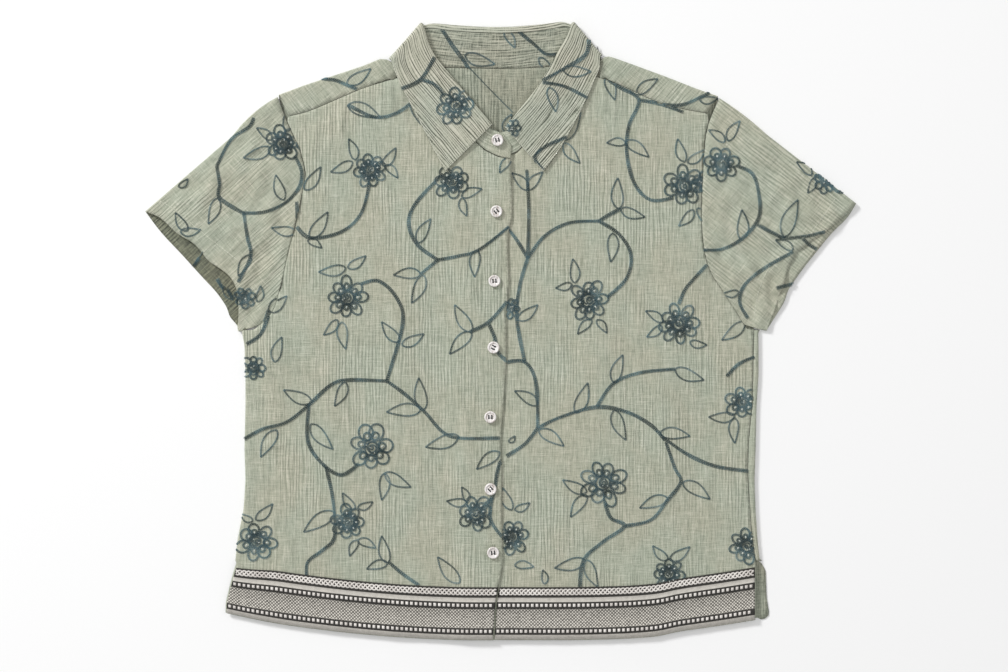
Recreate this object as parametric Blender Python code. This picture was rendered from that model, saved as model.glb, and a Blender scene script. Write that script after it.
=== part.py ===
"""A short-sleeved button-up shirt of crinkled cloth, buttoned and laid flat, face up.

Every piece that a maker cuts or sews on is one object: the back, whose cloth rolls
forward over both shoulders and the wearer's left side, two fronts, two sleeves, a
collar with its stand, a woven border on each front and seven buttons.  X runs across
the shirt, +Y towards the collar and Z up from the surface.  The tables are in
millimetres, from the middle of the laid outline, and the objects in metres.
"""

from math import cos, hypot, pi, radians, sin

import bmesh
import bpy
from mathutils import Vector, geometry

MM = 0.001

# Cloth, in millimetres
CLOTH = 1.2
COLLAR_CLOTH = 1.5
SEAM = 0.3
BORDER_CLOTH = 0.9
SEAM_IN_PLAN = 0.45

# Heights of the middle of the cloth over the surface
LOWER = CLOTH / 2
UPPER = 3.8
LEAST_UPPER = 2.4
LAP_RISE = CLOTH + SEAM + 0.15
NECK_LIFT = 1.95
FOLD_SHARE = 0.85

# Clearances: under a piece that lies on another, under a leaf and under the fall behind the neck
LIE_CLEARANCE = 0.05
LEAF_CLEARANCE = 0.25
BEHIND_CLEARANCE = 0.1

# Grid spacing of the cloth, and how many places a side or a shoulder is bent at
FRONT_SPACING = 19.0
BACK_SPACING = 46.0
SPACING_SHARE = 0.45
SIDE_PLACES = 15
SEAM_PLACES = 13
SHOULDER_PLACES = 10
ROLL_LINES = 5

# Sides
VENT_TOP = -231.0
UNDERARM = 0.0
TUCK_UNDER = 8.0
LEFT_SIDE = (  # y, x of the laid edge
    (0.0, -259.8), (-15.0, -256.8), (-45.0, -255.8), (-75.0, -255.8), (-120.0, -256.8),
    (-150.0, -255.8), (-180.0, -257.8), (-210.0, -263.8), (-231.0, -266.0),
)
RIGHT_SIDE = (  # y, x of the laid edge
    (0.0, 258.0), (-15.0, 258.3), (-45.0, 258.3), (-75.0, 256.3), (-120.0, 255.3),
    (-150.0, 254.3), (-180.0, 255.3), (-210.0, 257.3), (-231.0, 259.5),
)
RIGHT_SEAM = (  # y, x where the back's cloth ends on the face
    (0.0, 253.4), (-70.0, 252.0), (-114.0, 248.0), (-140.0, 247.3), (-191.0, 250.3),
    (-215.0, 252.6), (-231.0, 254.8),
)
LEFT_VENT = ((-264.0, -231.0), (-267.0, -241.0), (-271.5, -258.0), (-274.8, -272.0))  # x, y
RIGHT_VENT = ((254.4, -231.0), (255.8, -236.0), (255.6, -262.0))  # x, y
BACK_TAIL = ((261.8, -234.0), (265.2, -241.0), (266.3, -268.0), (269.0, -285.0), (263.0, -290.5))

# Hem, shoulders and front edge
HEM = (  # x, y of the fronts' lower edge
    (-275.2, -283.0), (-240.0, -290.5), (-200.8, -297.0), (-130.0, -305.0), (-60.8, -309.4),
    (0.0, -310.0), (89.3, -309.8), (149.3, -307.0), (179.3, -301.5), (220.0, -295.5), (254.6, -290.0),
)
BACK_HEM_RISE = 3.0
LEFT_SHOULDER = (  # x, y of the laid edge
    (-226.0, 234.2), (-195.8, 245.4), (-165.8, 255.4), (-135.8, 265.2), (-120.8, 271.4),
    (-113.5, 270.8), (-109.0, 268.2), (-103.8, 266.0),
)
RIGHT_SHOULDER = (  # x, y of the laid edge
    (97.0, 268.6), (101.5, 271.4), (105.5, 274.2), (111.3, 273.2), (134.3, 265.2),
    (164.3, 254.2), (194.3, 242.4), (222.0, 232.6),
)
LEFT_YOKE_SEAM = ((-212.3, 214.0), (-190.8, 219.6), (-157.8, 233.6), (-135.8, 242.6), (-103.8, 252.0))
NECK_SPAN = (-103.8, 97.0)  # x of the shoulders' neck ends
SHOULDER_BENDS = ((-228.0, -101.0), (94.0, 226.0))  # x from and to
SHOULDERS_FROM = 150.0  # y over which the back's cloth belongs to a shoulder
NECK_ROWS = (212.0, 231.0, 247.0)  # y of the back's bends over the collar
NECK_ROW_ENDS = (-150.0, 145.0)
NECK_ROW_PLACES = 12
RIGHT_YOKE_SEAM = ((97.0, 253.0), (124.3, 243.0), (159.3, 227.0), (184.0, 221.0), (206.3, 217.0))
CENTRE_EDGE = (  # y, x of the overlapping front's edge
    (171.0, 10.3), (115.0, 11.3), (100.0, 8.0), (75.0, 7.3), (46.0, 8.3), (20.0, 5.6),
    (-32.0, 5.3), (-72.0, 3.3), (-112.0, 0.4), (-160.0, 1.3), (-210.0, 1.3), (-230.0, 2.3),
    (-249.0, -0.7), (-267.0, -4.7), (-310.0, -7.7),
)
UNDERLAP_EDGE = ((171.0, -10.0), (-310.0, -24.0))  # y, x of the front underneath
UNDERLAP_PLACES = 12
LAP_START = -58.0
LAP_FULL = -30.0
LAP_EDGE = 14.0
NECK_TOP = 170.0  # y where the fronts' edges end at the stand
NECK_EDGE_GAP = (0.35, 0.55)

# Armholes, from the shoulder down, x and y, on the face; the back's bows outwards
LEFT_ARMHOLE = (
    (-222.6, 233.4), (-214.8, 212.0), (-206.0, 192.0), (-199.8, 178.0), (-195.4, 158.0),
    (-196.8, 144.0), (-203.8, 112.0), (-212.8, 75.0), (-220.8, 41.0), (-229.0, 17.0), (-246.0, 1.0),
)
RIGHT_ARMHOLE = (
    (218.4, 232.0), (211.3, 217.0), (205.8, 201.0), (203.3, 180.0), (200.8, 130.0),
    (201.3, 99.0), (204.3, 75.0), (211.3, 55.0), (223.3, 37.0), (246.0, 1.0),
)
BACK_ARMHOLE_BOW = 4.0
ARMHOLE_TOP = {"left": 211.0, "right": 213.0}  # y where the front's armhole meets its shoulder seam
ARMHOLE_FOOT = (-250.0, -0.2)

# Cuffs, from the upper edge to the underarm, x and y, of the face and of the layer below
LEFT_CUFF = (
    (-355.6, 118.4), (-340.3, 112.0), (-323.3, 96.5), (-308.3, 87.5), (-299.8, 79.0),
    (-291.8, 69.0), (-273.3, 56.0), (-264.5, 43.0), (-262.0, 25.0), (-262.8, 4.5),
)
LEFT_CUFF_BELOW = (
    (-355.6, 118.4), (-339.8, 97.5), (-318.3, 74.5), (-298.8, 53.0), (-285.3, 38.5),
    (-274.8, 23.5), (-271.0, 13.0), (-262.8, 4.5),
)
RIGHT_CUFF = (
    (355.6, 126.4), (344.3, 114.0), (324.3, 98.0), (306.3, 85.0), (295.3, 76.0),
    (287.3, 60.0), (282.3, 43.0), (277.3, 28.0), (271.0, 12.0), (266.0, -0.5),
)
RIGHT_CUFF_BELOW = (
    (355.6, 126.4), (346.8, 112.5), (330.8, 96.5), (312.8, 74.5), (301.8, 60.5),
    (288.0, 40.5), (284.0, 29.0), (276.0, 15.5), (266.0, -0.5),
)
CUFF_LIFT = 0.9
CUFF_LIFT_FROM = 0.6
CUFF_LIFT_WIDTH = 25.0
SLEEVE_GAP = 1.6 * SEAM
SLEEVE_SECTIONS = (0.0, 0.14, 0.3, 0.46, 0.62, 0.77, 0.9, 1.0)
SLEEVE_COLUMNS = 15
UNDERARM_POINT = {"left": (-257.2, 2.2), "right": (255.8, 1.6)}

# Largest folds: a soft ridge from one point to another, with its half width and rise
FOLDS = (  # x1, y1, x2, y2, half width, rise
    (27.0, 150.0, 27.0, -20.0, 9.0, 1.3),
    (-161.0, 226.0, -165.0, 172.0, 7.0, 1.2),
    (-178.0, 216.0, -182.0, 160.0, 7.0, 0.9),
    (-246.0, -8.0, -200.0, -26.0, 8.0, 1.1),
    (-248.0, -52.0, -212.0, -66.0, 8.0, 1.0),
    (252.0, -55.0, 192.0, -25.0, 8.0, 1.3),
    (-250.0, -96.0, -188.0, -72.0, 9.0, 0.9),
    (-186.0, 120.0, -168.0, -100.0, 22.0, 1.0),
    (192.0, 120.0, 168.0, -90.0, 22.0, 1.0),
    (-104.0, 110.0, -92.0, -230.0, 25.0, 1.2),
    (98.0, 110.0, 92.0, -230.0, 25.0, 1.1),
    (156.0, 30.0, 166.0, -260.0, 20.0, 0.9),
    (-172.0, -60.0, -180.0, -262.0, 22.0, 1.0),
    (-47.0, 30.0, -42.0, -250.0, 15.0, 0.7),
    (-236.0, 196.0, -320.0, 116.0, 15.0, 1.2),
    (-212.0, 130.0, -284.0, 80.0, 12.0, 1.0),
    (-216.0, 70.0, -262.0, 46.0, 9.0, 0.9),
    (232.0, 198.0, 326.0, 126.0, 15.0, 1.1),
    (214.0, 130.0, 288.0, 84.0, 12.0, 1.0),
    (222.0, 64.0, 272.0, 44.0, 9.0, 0.9),
)

# Collar: how the strip goes round the neck, from the wearer's right point to the left one.
# Lying: how its fall lies, on the face (1), rolling over at the side of the neck (0) or
# behind the back (-1).  The fold is where the fall turns over the stand, the free edge is
# its outer edge and the seam is where the stand meets the neck.  Crown: the fold's height.
COLLAR = (  # lying, fold x, fold y, free x, free y, seam x, seam y, crown
    (1, -7.9, 205.3, -55.0, 158.7, -15.8, 180.0, 6.6),
    (1, -22.8, 223.0, -66.4, 178.7, -36.8, 200.0, 6.8),
    (1, -37.8, 240.8, -77.8, 202.2, -56.8, 219.0, 7.0),
    (1, -52.8, 258.6, -89.4, 224.2, -75.8, 237.0, 7.2),
    (1, -66.2, 275.2, -99.4, 243.6, -91.0, 251.5, 7.3),
    (1, -73.2, 291.0, -106.8, 260.5, -98.5, 260.0, 7.2),
    (0, -80.0, 308.6, -112.4, 272.2, -102.0, 265.5, 5.4),
    (-1, -68.0, 307.6, -92.0, 262.5, -90.0, 264.5, 4.3),
    (-1, -45.0, 305.4, -52.0, 254.0, -54.8, 262.8, 5.8),
    (-1, 0.0, 303.2, 0.0, 252.0, 0.0, 261.6, 7.2),
    (-1, 44.0, 306.6, 50.0, 254.0, 36.3, 262.8, 5.8),
    (-1, 62.0, 309.2, 84.0, 264.0, 80.0, 266.0, 4.3),
    (0, 73.6, 309.3, 102.0, 275.6, 95.2, 270.2, 5.4),
    (1, 65.8, 293.6, 99.6, 263.4, 90.0, 265.5, 7.2),
    (1, 56.4, 278.2, 95.2, 252.2, 81.3, 256.0, 7.3),
    (1, 43.6, 254.2, 84.6, 228.0, 66.3, 238.0, 7.2),
    (1, 30.4, 235.2, 71.6, 202.2, 51.3, 217.0, 7.0),
    (1, 16.4, 218.0, 57.6, 178.2, 35.3, 197.0, 6.8),
    (1, 4.2, 202.4, 42.8, 158.2, 15.3, 177.0, 6.6),
)
STAND_ENDS = {  # top x, top y, seam x, seam y beyond the fall, nearest last
    "right": ((10.9, 184.4, 10.0, 171.6), (7.0, 190.6, 6.0, 171.9), (1.4, 197.4, -2.0, 173.4)),
    "left": ((-3.2, 194.0, -2.4, 174.2), (0.6, 198.6, 6.0, 175.4)),
}
ROLL = 1.25
ROLL_TO_STAND = 3.4
ROLL_POINTS = 5
SIDE_CROWN_FACE = 7.2
SIDE_CROWN_BEHIND = 4.2
SIDE_FREE_FACE = 7.6
FALL_ROWS = (0.1, 0.3, 0.5, 0.7, 0.86, 1.0)
STAND_ROWS = (0.0, 0.2, 0.45, 0.72, 1.0)
FOLD_TURNS = (0.0, 38.0, 90.0, 142.0, 180.0)
LEAF_SETTLED = 0.8  # share of the leaf's width after which it lies on the front
FALL_SETTLED = 0.3  # the same for the fall behind the neck

# Woven border: bands up from the hem, each with its upper limit and how far it is raised
BORDER_HEIGHT = 53.0
BORDER_BANDS = (  # top of the band, rise
    (5.2, 0.0), (13.0, 0.35), (30.6, 0.0), (38.4, 0.35), (43.6, 0.1), (45.0, 0.35),
    (51.6, 0.9), (53.0, 0.35),
)
BAND_EDGE = 0.25
BORDER_COLUMNS = 17
BORDER_INSET = 0.6
BORDER_NARROWS = (-215.0, -275.0, 0.11)  # from x, to x, share of its height
BORDER_LEFT_FOOT = -283.0
BORDER_LEFT_INSET = 1.0
BORDER_FRONT_FOOT = -306.0
BORDER_UNDER_FOOT = -309.0
BORDER_UNDER_INSET = 1.2
BORDER_RIGHT_END = 254.0

# Buttons
BUTTON_PLACES = (  # x, y
    (-3.3, 189.6), (-4.3, 118.5), (-6.3, 49.0), (-7.2, -17.5), (-10.4, -87.0),
    (-10.2, -159.0), (-7.6, -222.5),
)
STAND_END_RISE = 0.8
BUTTON_RADIUS = 6.1
BUTTON_THICKNESS = 2.6
BUTTON_HOLE_RADIUS = 0.85
BUTTON_HOLE_SPREAD = 1.55
BUTTON_PROFILE = (  # radius share, height share
    (0.84, 0.0), (1.0, 0.3), (1.0, 0.62), (0.9, 0.95), (0.78, 1.0), (0.6, 0.72),
)
BUTTON_SEAT = 0.84
BUTTON_SEAT_PLACES = 17
BUTTON_SIDES = 16
BUTTON_HOLE_SIDES = 6

CLOTH_COLOUR = (0.392, 0.416, 0.332)
BORDER_COLOUR = (0.40, 0.39, 0.35)
BUTTON_COLOUR = (0.72, 0.68, 0.64)


def at(table, value):
    """Reads the second column of a two-column table at a value of its first column."""
    rows = sorted(table)
    for (low, first), (high, second) in zip(rows, rows[1:]):
        if value <= high:
            share = max(0.0, (value - low) / (high - low))
            return first + (second - first) * share
    return rows[-1][1]


def step(low, high, value):
    """A smooth step from 0 at low to 1 at high."""
    share = min(1.0, max(0.0, (value - low) / (high - low)))
    return share * share * (3 - 2 * share)


def smooth_curve(points, per_span):
    """A Catmull-Rom curve through tuples of numbers, with per_span steps between two of them."""
    out = []
    for i in range(len(points) - 1):
        a = points[max(i - 1, 0)]
        b, c = points[i], points[i + 1]
        d = points[min(i + 2, len(points) - 1)]
        for k in range(per_span):
            t = k / per_span
            out.append(tuple(
                0.5 * (2 * q + (r - p) * t + (2 * p - 5 * q + 4 * r - s) * t**2
                       + (3 * q - p - 3 * r + s) * t**3)
                for p, q, r, s in zip(a, b, c, d)
            ))
    out.append(tuple(points[-1]))
    return out


def evenly(points, count):
    """The same polyline with count points, evenly spaced along it."""
    lengths = length_along(points)
    out = []
    for k in range(count):
        goal = lengths[-1] * k / (count - 1)
        i = max(1, next(j for j, length in enumerate(lengths) if length >= goal - 1e-9))
        share = (goal - lengths[i - 1]) / max(lengths[i] - lengths[i - 1], 1e-9)
        (x1, y1), (x2, y2) = points[i - 1], points[i]
        out.append((x1 + (x2 - x1) * share, y1 + (y2 - y1) * share))
    return out


def fold_rise(x, y):
    """How far the largest folds lift the face of the shirt at a place."""
    total = 0.0
    for x1, y1, x2, y2, width, rise in FOLDS:
        dx, dy = x2 - x1, y2 - y1
        share = ((x - x1) * dx + (y - y1) * dy) / (dx * dx + dy * dy)
        if not -0.2 < share < 1.2:
            continue
        near = min(1.0, max(0.0, share))
        away = hypot(x - x1 - dx * near, y - y1 - dy * near) / width
        ends = step(0.0, 0.25, share) * step(0.0, 0.25, 1 - share)
        total += rise * ends * 2.718 ** (-away * away)
    return total


def neck_lift(x, y):
    """How far the collar's fall, lying behind the neck, lifts the cloth that is on it."""
    across = 1 - step(112.0, 150.0, abs(x + 5.0))
    return NECK_LIFT * across * step(214.0, 247.0, y)


def lower_height(x, y):
    """Height of the middle of the back's cloth."""
    return LOWER + neck_lift(x, y)


def upper_height(x, y):
    """Height of the middle of the cloth on the face."""
    return max(LEAST_UPPER, UPPER + FOLD_SHARE * fold_rise(x, y) + neck_lift(x, y))


def lap_height(x, y):
    """Height of the overlapping front, which passes over the other one near the buttons."""
    return upper_height(x, y) + LAP_RISE * step(LAP_START, LAP_FULL, x)


def roll_over(value, near, far):
    """A strip of cloth that passes a fold line and rolls over it.

    Takes the cloth's distance past the line, and its heights before and after the roll.
    Returns how far past the line it ends up, and its height.
    """
    if value <= 0:
        return value, near
    radius = abs(far - near) / 2
    if value < pi * radius:
        angle = value / radius
        return radius * sin(angle), near + (far - near) / 2 * (1 - cos(angle))
    return pi * radius - value, far


def shoulder_fold(x):
    """Y where the back's cloth begins to roll over the shoulder, and the roll's radius."""
    edge = at(LEFT_SHOULDER if x < 0 else RIGHT_SHOULDER, x)
    radius = (upper_height(x, edge) - lower_height(x, edge)) / 2
    return edge - radius - CLOTH / 2, radius


def side_fold(side, y):
    """X where the cloth begins to roll at a side of the body, and the roll's radius."""
    edge = at(LEFT_SIDE if side < 0 else RIGHT_SIDE, y)
    radius = (upper_height(edge, y) - lower_height(edge, y)) / 2
    return edge - side * (radius + CLOTH / 2), radius


def lay_back(x, y):
    """Where a point of the back's cut cloth lies."""
    if y > SHOULDERS_FROM and not NECK_SPAN[0] < x < NECK_SPAN[1]:
        start, _ = shoulder_fold(x)
        if y > start:
            past, height = roll_over(y - start, lower_height(x, start), upper_height(x, start))
            return x, start + past, upper_height(x, start + past) if past <= 0 else height
    if x > 0 and VENT_TOP <= y <= UNDERARM:
        start, _ = side_fold(1, y)
        if x > start:
            past, height = roll_over(x - start, lower_height(start, y), upper_height(start, y))
            return start + past, y, upper_height(start + past, y) if past <= 0 else height
    return x, y, lower_height(x, y)


def lay_right_front(x, y):
    """Where a point of the overlapping front lies; its side edge rolls underneath."""
    if x < 0 and VENT_TOP <= y <= UNDERARM:
        start, _ = side_fold(-1, y)
        if x < start:
            past, height = roll_over(start - x, upper_height(start, y), lower_height(start, y))
            return start - past, y, height
    return x, y, lap_height(x, y)


def lay_left_front(x, y):
    """Where a point of the front underneath lies."""
    return x, y, upper_height(x, y)


def new_material(name, colour, roughness):
    """A Principled material."""
    material = bpy.data.materials.new(name)
    material.use_nodes = True
    shader = material.node_tree.nodes["Principled BSDF"]
    shader.inputs["Base Color"].default_value = (*colour, 1.0)
    shader.inputs["Roughness"].default_value = roughness
    shader.inputs["Metallic"].default_value = 0.0
    return material


def new_object(name, mesh, colour, roughness):
    """Links a mesh as a smooth-shaded object with its own material."""
    mesh.materials.clear()
    piece = bpy.data.objects.new(name, mesh)
    bpy.context.scene.collection.objects.link(piece)
    piece.data.materials.append(new_material(name + "_finish", colour, roughness))
    return piece


def mesh_of(name, points, faces):
    """A mesh in metres from points in millimetres, without unused points."""
    used = sorted({index for face in faces for index in face})
    number = {index: new for new, index in enumerate(used)}
    mesh = bpy.data.meshes.new(name)
    mesh.from_pydata(
        [tuple(value * MM for value in points[index]) for index in used], [],
        [tuple(number[index] for index in face) for face in faces],
    )
    mesh.update()
    return mesh


def thicken(piece, thickness, even=True):
    """Gives a piece of cloth its wall, half on each side of its middle."""
    wall = piece.modifiers.new("Wall", "SOLIDIFY")
    wall.thickness = thickness * MM
    wall.offset = 0.0
    wall.use_even_offset = even
    wall.use_quality_normals = True


def far_from(point, polylines, least):
    """Whether a point is at least that far from every stretch of the polylines."""
    x, y = point
    for line in polylines:
        for (x1, y1), (x2, y2) in zip(line, line[1:]):
            dx, dy = x2 - x1, y2 - y1
            share = ((x - x1) * dx + (y - y1) * dy) / max(dx * dx + dy * dy, 1e-9)
            near = min(1.0, max(0.0, share))
            if hypot(x - x1 - dx * near, y - y1 - dy * near) < least:
                return False
    return True


def cut_cloth(name, outline, rolls, spacing, lay):
    """A cut piece: its flat outline, the lines that it rolls along, and how it is laid."""
    points = list(outline)
    edges = []
    for line in rolls:
        first = len(points)
        points += line
        edges += [(first + k, first + k + 1) for k in range(len(line) - 1)]
    xs = [x for x, _ in outline]
    ys = [y for _, y in outline]
    closed = list(outline) + [outline[0]]
    columns = int((max(xs) - min(xs)) / spacing) + 1
    rows = int((max(ys) - min(ys)) / spacing) + 1
    for j in range(rows + 1):
        for i in range(columns + 1):
            point = (min(xs) + (i + 0.5 * (j % 2)) * spacing, min(ys) + j * spacing)
            if far_from(point, [closed, *rolls], SPACING_SHARE * spacing):
                points.append(point)
    flat, _, faces, *_ = geometry.delaunay_2d_cdt(
        [Vector(point) for point in points], edges, [list(range(len(outline)))], 1, 1e-4
    )
    piece = new_object(name, mesh_of(name, [lay(*point) for point in flat], faces), CLOTH_COLOUR, 0.9)
    thicken(piece, CLOTH)
    return piece


def roll_lines(fold_of, places, outwards, across):
    """The lines along which cloth bends as it rolls over a fold, evenly spaced round it.

    fold_of gives the fold's position and radius at a place along it; across says that
    the fold runs along X.
    """
    lines = []
    for number in range(ROLL_LINES):
        line = []
        for place in places:
            start, radius = fold_of(place)
            value = start + outwards * radius * pi * number / (ROLL_LINES - 1)
            line.append((place, value) if across else (value, place))
        lines.append(line)
    return lines


def armhole(side, below):
    """The armhole's points, the face's or the back's."""
    table = LEFT_ARMHOLE if side < 0 else RIGHT_ARMHOLE
    points = evenly(smooth_curve(table, 4), SLEEVE_COLUMNS)
    if not below:
        return points
    last = len(points) - 1
    return [(x + side * BACK_ARMHOLE_BOW * sin(pi * k / last), y) for k, (x, y) in enumerate(points)]


def between(low, high, count):
    """Evenly spaced values, ends included."""
    return [low + (high - low) * k / (count - 1) for k in range(count)]


def hem_points(first, last):
    """The hem's points between two values of x."""
    curve = smooth_curve(HEM, 2)
    inner = [x for x, _ in curve if first + 3 < x < last - 3]
    return [(x, at(curve, x)) for x in [first, *inner, last]]


def neck_seam(side):
    """The fronts' neck edge: the stand's seam, from the centre to the shoulder."""
    rows = COLLAR[:6] if side < 0 else tuple(reversed(COLLAR[13:]))
    points = [(row[5], row[6]) for row in rows]
    ends = STAND_ENDS["right" if side < 0 else "left"]
    points = [(end[2], end[3]) for end in ends] + points
    return [(x + side * NECK_EDGE_GAP[0], y - NECK_EDGE_GAP[1]) for x, y in points]


def make_right_front():
    """The wearer's right front, on top: edge, neck, shoulder, armhole and side."""
    top = [(x, y - SEAM_IN_PLAN) for x, y in reversed(LEFT_YOKE_SEAM)]
    arm = [point for point in armhole(-1, False) if point[1] < ARMHOLE_TOP["left"]]
    side = []
    for y in between(UNDERARM, VENT_TOP, SIDE_PLACES):
        start, radius = side_fold(-1, y)
        side.append((start - pi * radius - TUCK_UNDER, y))
    centre = [(x, y) for y, x in reversed(CENTRE_EDGE) if y < NECK_TOP]
    outline = [
        *centre, *neck_seam(-1)[:-1], *top, *arm, ARMHOLE_FOOT, *side,
        (side_fold(-1, VENT_TOP)[0], VENT_TOP), *LEFT_VENT[1:], *hem_points(HEM[0][0], -20.0),
    ]
    places = between(UNDERARM + 2.0, VENT_TOP - 1.0, SIDE_PLACES)
    rolls = roll_lines(lambda y: side_fold(-1, y), places, -1, False)
    return cut_cloth("front_right", outline, rolls, FRONT_SPACING, lay_right_front)


def make_left_front():
    """The wearer's left front, underneath at the buttons."""
    top = [(x, y - SEAM_IN_PLAN) for x, y in reversed(RIGHT_YOKE_SEAM)]
    arm = [point for point in armhole(1, False) if point[1] < ARMHOLE_TOP["right"]]
    places = between(VENT_TOP, UNDERARM - 0.2, SEAM_PLACES)
    side = [(at(RIGHT_SEAM, y) - SEAM_IN_PLAN, y) for y in places]
    under = [(at(UNDERLAP_EDGE, y), y) for y in between(165.0, -309.0, UNDERLAP_PLACES)]
    outline = [
        *reversed(neck_seam(1)[:-1]), *under, *hem_points(-24.0, HEM[-1][0])[1:],
        *reversed(RIGHT_VENT), *side, *reversed(arm), *top,
    ]
    return cut_cloth("front_left", outline, [], FRONT_SPACING, lay_left_front)


def shoulder_strip(side):
    """The back's cut edge beyond a shoulder: armhole end, seam and neck end, from the arm in."""
    seam = LEFT_YOKE_SEAM if side < 0 else tuple(reversed(RIGHT_YOKE_SEAM))
    points = []
    for x, y in seam:
        start, radius = shoulder_fold(x)
        points.append((x, start + pi * radius + start - y))
    return points


def make_back():
    """The back, which rolls forward over both shoulders and over the wearer's left side."""
    side = []
    for y in between(VENT_TOP, UNDERARM, SIDE_PLACES):
        start, radius = side_fold(1, y)
        side.append((start + pi * radius + start - at(RIGHT_SEAM, y), y))
    neck = [(row[5], row[6] - SEAM_IN_PLAN) for row in reversed(COLLAR[7:12])]
    neck_ends = [(x, shoulder_fold(x)[0]) for x in reversed(NECK_SPAN)]
    under = TUCK_UNDER + SEAM_IN_PLAN
    left_edge = [(side_fold(-1, y)[0] + under, y) for y in between(UNDERARM, VENT_TOP, SIDE_PLACES)]
    hem = [(x, y + BACK_HEM_RISE) for x, y in hem_points(-262.0, 254.0)]
    left_arm = [point for point in armhole(-1, True) if point[1] > 3.0]
    outline = [
        *hem, *reversed(BACK_TAIL), (side_fold(1, VENT_TOP)[0], VENT_TOP), *side,
        (side_fold(1, UNDERARM)[0], UNDERARM), *reversed(armhole(1, True)[:-1]), *shoulder_strip(1),
        neck_ends[0], *neck, neck_ends[1], *reversed(shoulder_strip(-1)), *left_arm, *left_edge,
    ]
    places = between(UNDERARM + 1.0, VENT_TOP - 1.0, SIDE_PLACES)
    rolls = roll_lines(lambda y: side_fold(1, y), places, 1, False)
    for low, high in SHOULDER_BENDS:
        rolls += roll_lines(shoulder_fold, between(low, high, SHOULDER_PLACES), 1, True)
    for y in NECK_ROWS:
        rolls.append([(x, y) for x in between(*NECK_ROW_ENDS, NECK_ROW_PLACES)])
    return cut_cloth("back", outline, rolls, BACK_SPACING, lay_back)


def blend(first, second, share):
    """A point part of the way between two."""
    return tuple(a + (b - a) * share for a, b in zip(first, second))


def length_along(line):
    """The distance of each point of a polyline from its start."""
    lengths = [0.0]
    for (x1, y1), (x2, y2) in zip(line, line[1:]):
        lengths.append(lengths[-1] + hypot(x2 - x1, y2 - y1))
    return lengths


def section_places(line):
    """A sleeve section's points on one layer, closer at both edges where the cloth rolls.

    Returns x, y and the distance from the nearer edge for each.
    """
    lengths = length_along(line)
    radius = (UPPER - LOWER) / 2
    ends = (0.0, 0.3 * radius, radius)
    flat = [length for length in lengths[1:-1] if radius + 2 < length < lengths[-1] - radius - 2]
    places = []
    for place in [*ends, *flat, *(lengths[-1] - end for end in reversed(ends))]:
        i = max(1, next(j for j, length in enumerate(lengths) if length >= place - 1e-9))
        share = (place - lengths[i - 1]) / (lengths[i] - lengths[i - 1])
        places.append((*blend(line[i - 1], line[i], share), min(place, lengths[-1] - place)))
    return places


def laid_section(places, share, up):
    """The heights of one layer of a laid tube, whose two layers meet at its edges."""
    section = []
    for x, y, edge in places:
        lift = CUFF_LIFT * step(CUFF_LIFT_FROM, 1.0, share) * step(0.0, CUFF_LIFT_WIDTH, edge)
        top, low = upper_height(x, y) + lift, lower_height(x, y)
        radius = (top - low) / 2
        swell = (1 - (1 - min(edge / radius, 1.0)) ** 2) ** 0.5
        section.append((x, y, (top + low) / 2 + up * radius * swell))
    return section


def make_sleeve(name, side):
    """A sleeve: a laid tube from the armhole to its open cuff, rolled at both edges."""
    cuffs = (LEFT_CUFF, LEFT_CUFF_BELOW) if side < 0 else (RIGHT_CUFF, RIGHT_CUFF_BELOW)
    under = UNDERARM_POINT["left" if side < 0 else "right"]
    layers = []
    for table, below in zip(cuffs, (False, True)):
        near = [*armhole(side, below)[:-1], under]
        layers.append((near, evenly(smooth_curve(table, 3), SLEEVE_COLUMNS)))
    points, faces = [], []
    for share in SLEEVE_SECTIONS:
        halves = []
        for (near, far), up in zip(layers, (1, -1)):
            line = []
            for a, b in zip(near, far):
                start = SLEEVE_GAP / hypot(b[0] - a[0], b[1] - a[1])
                line.append(blend(a, b, start + (1 - start) * share))
            halves.append(laid_section(section_places(line), share, up))
        points += halves[0] + halves[1][-2:0:-1]
    around = len(points) // len(SLEEVE_SECTIONS)
    for i in range(len(SLEEVE_SECTIONS) - 1):
        for k in range(around):
            a, b = i * around + k, i * around + (k + 1) % around
            quad = (a, b, b + around, a + around)
            faces.append(quad if side > 0 else quad[::-1])
    piece = new_object(name, mesh_of(name, points, faces), CLOTH_COLOUR, 0.9)
    thicken(piece, CLOTH)
    return piece


def collar_stations():
    """The collar's sections: every table row, those between two, and those round a side fold."""
    stations = []
    for i, row in enumerate(COLLAR):
        if row[0] == 0:
            before, after = COLLAR[i - 1], COLLAR[i + 1]
            order = FOLD_TURNS if before[0] == 1 else tuple(reversed(FOLD_TURNS))
            stations += [(turn, *row[1:7], None) for turn in order]
            continue
        stations.append((0.0 if row[0] == 1 else 180.0, *row[1:]))
        if i + 1 < len(COLLAR) and COLLAR[i + 1][0] == row[0]:
            span = COLLAR[max(i - 1, 0):i + 3]
            middle = smooth_curve([r[1:] for r in span], 2)[2 * min(i, 1) + 1]
            stations.append((0.0 if row[0] == 1 else 180.0, *middle))
    return stations


def leaf_height(x, y, crown, share, side):
    """Height of the fall where it lies on the face, from its fold to its free edge."""
    rest = lap_height(x, y) if side < 0 or x < LAP_EDGE else upper_height(x, y)
    low = rest + CLOTH / 2 + SEAM + COLLAR_CLOTH / 2 + LEAF_CLEARANCE
    high = crown + ROLL * 2
    return max(low, high + (low - high) * step(0.0, LEAF_SETTLED, share))


def outward(away, side):
    """The direction in plan that is square to the fall and points out of the neck."""
    out = Vector((-away.y, away.x))
    return out if out.x * side > 0 else -out


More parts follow.
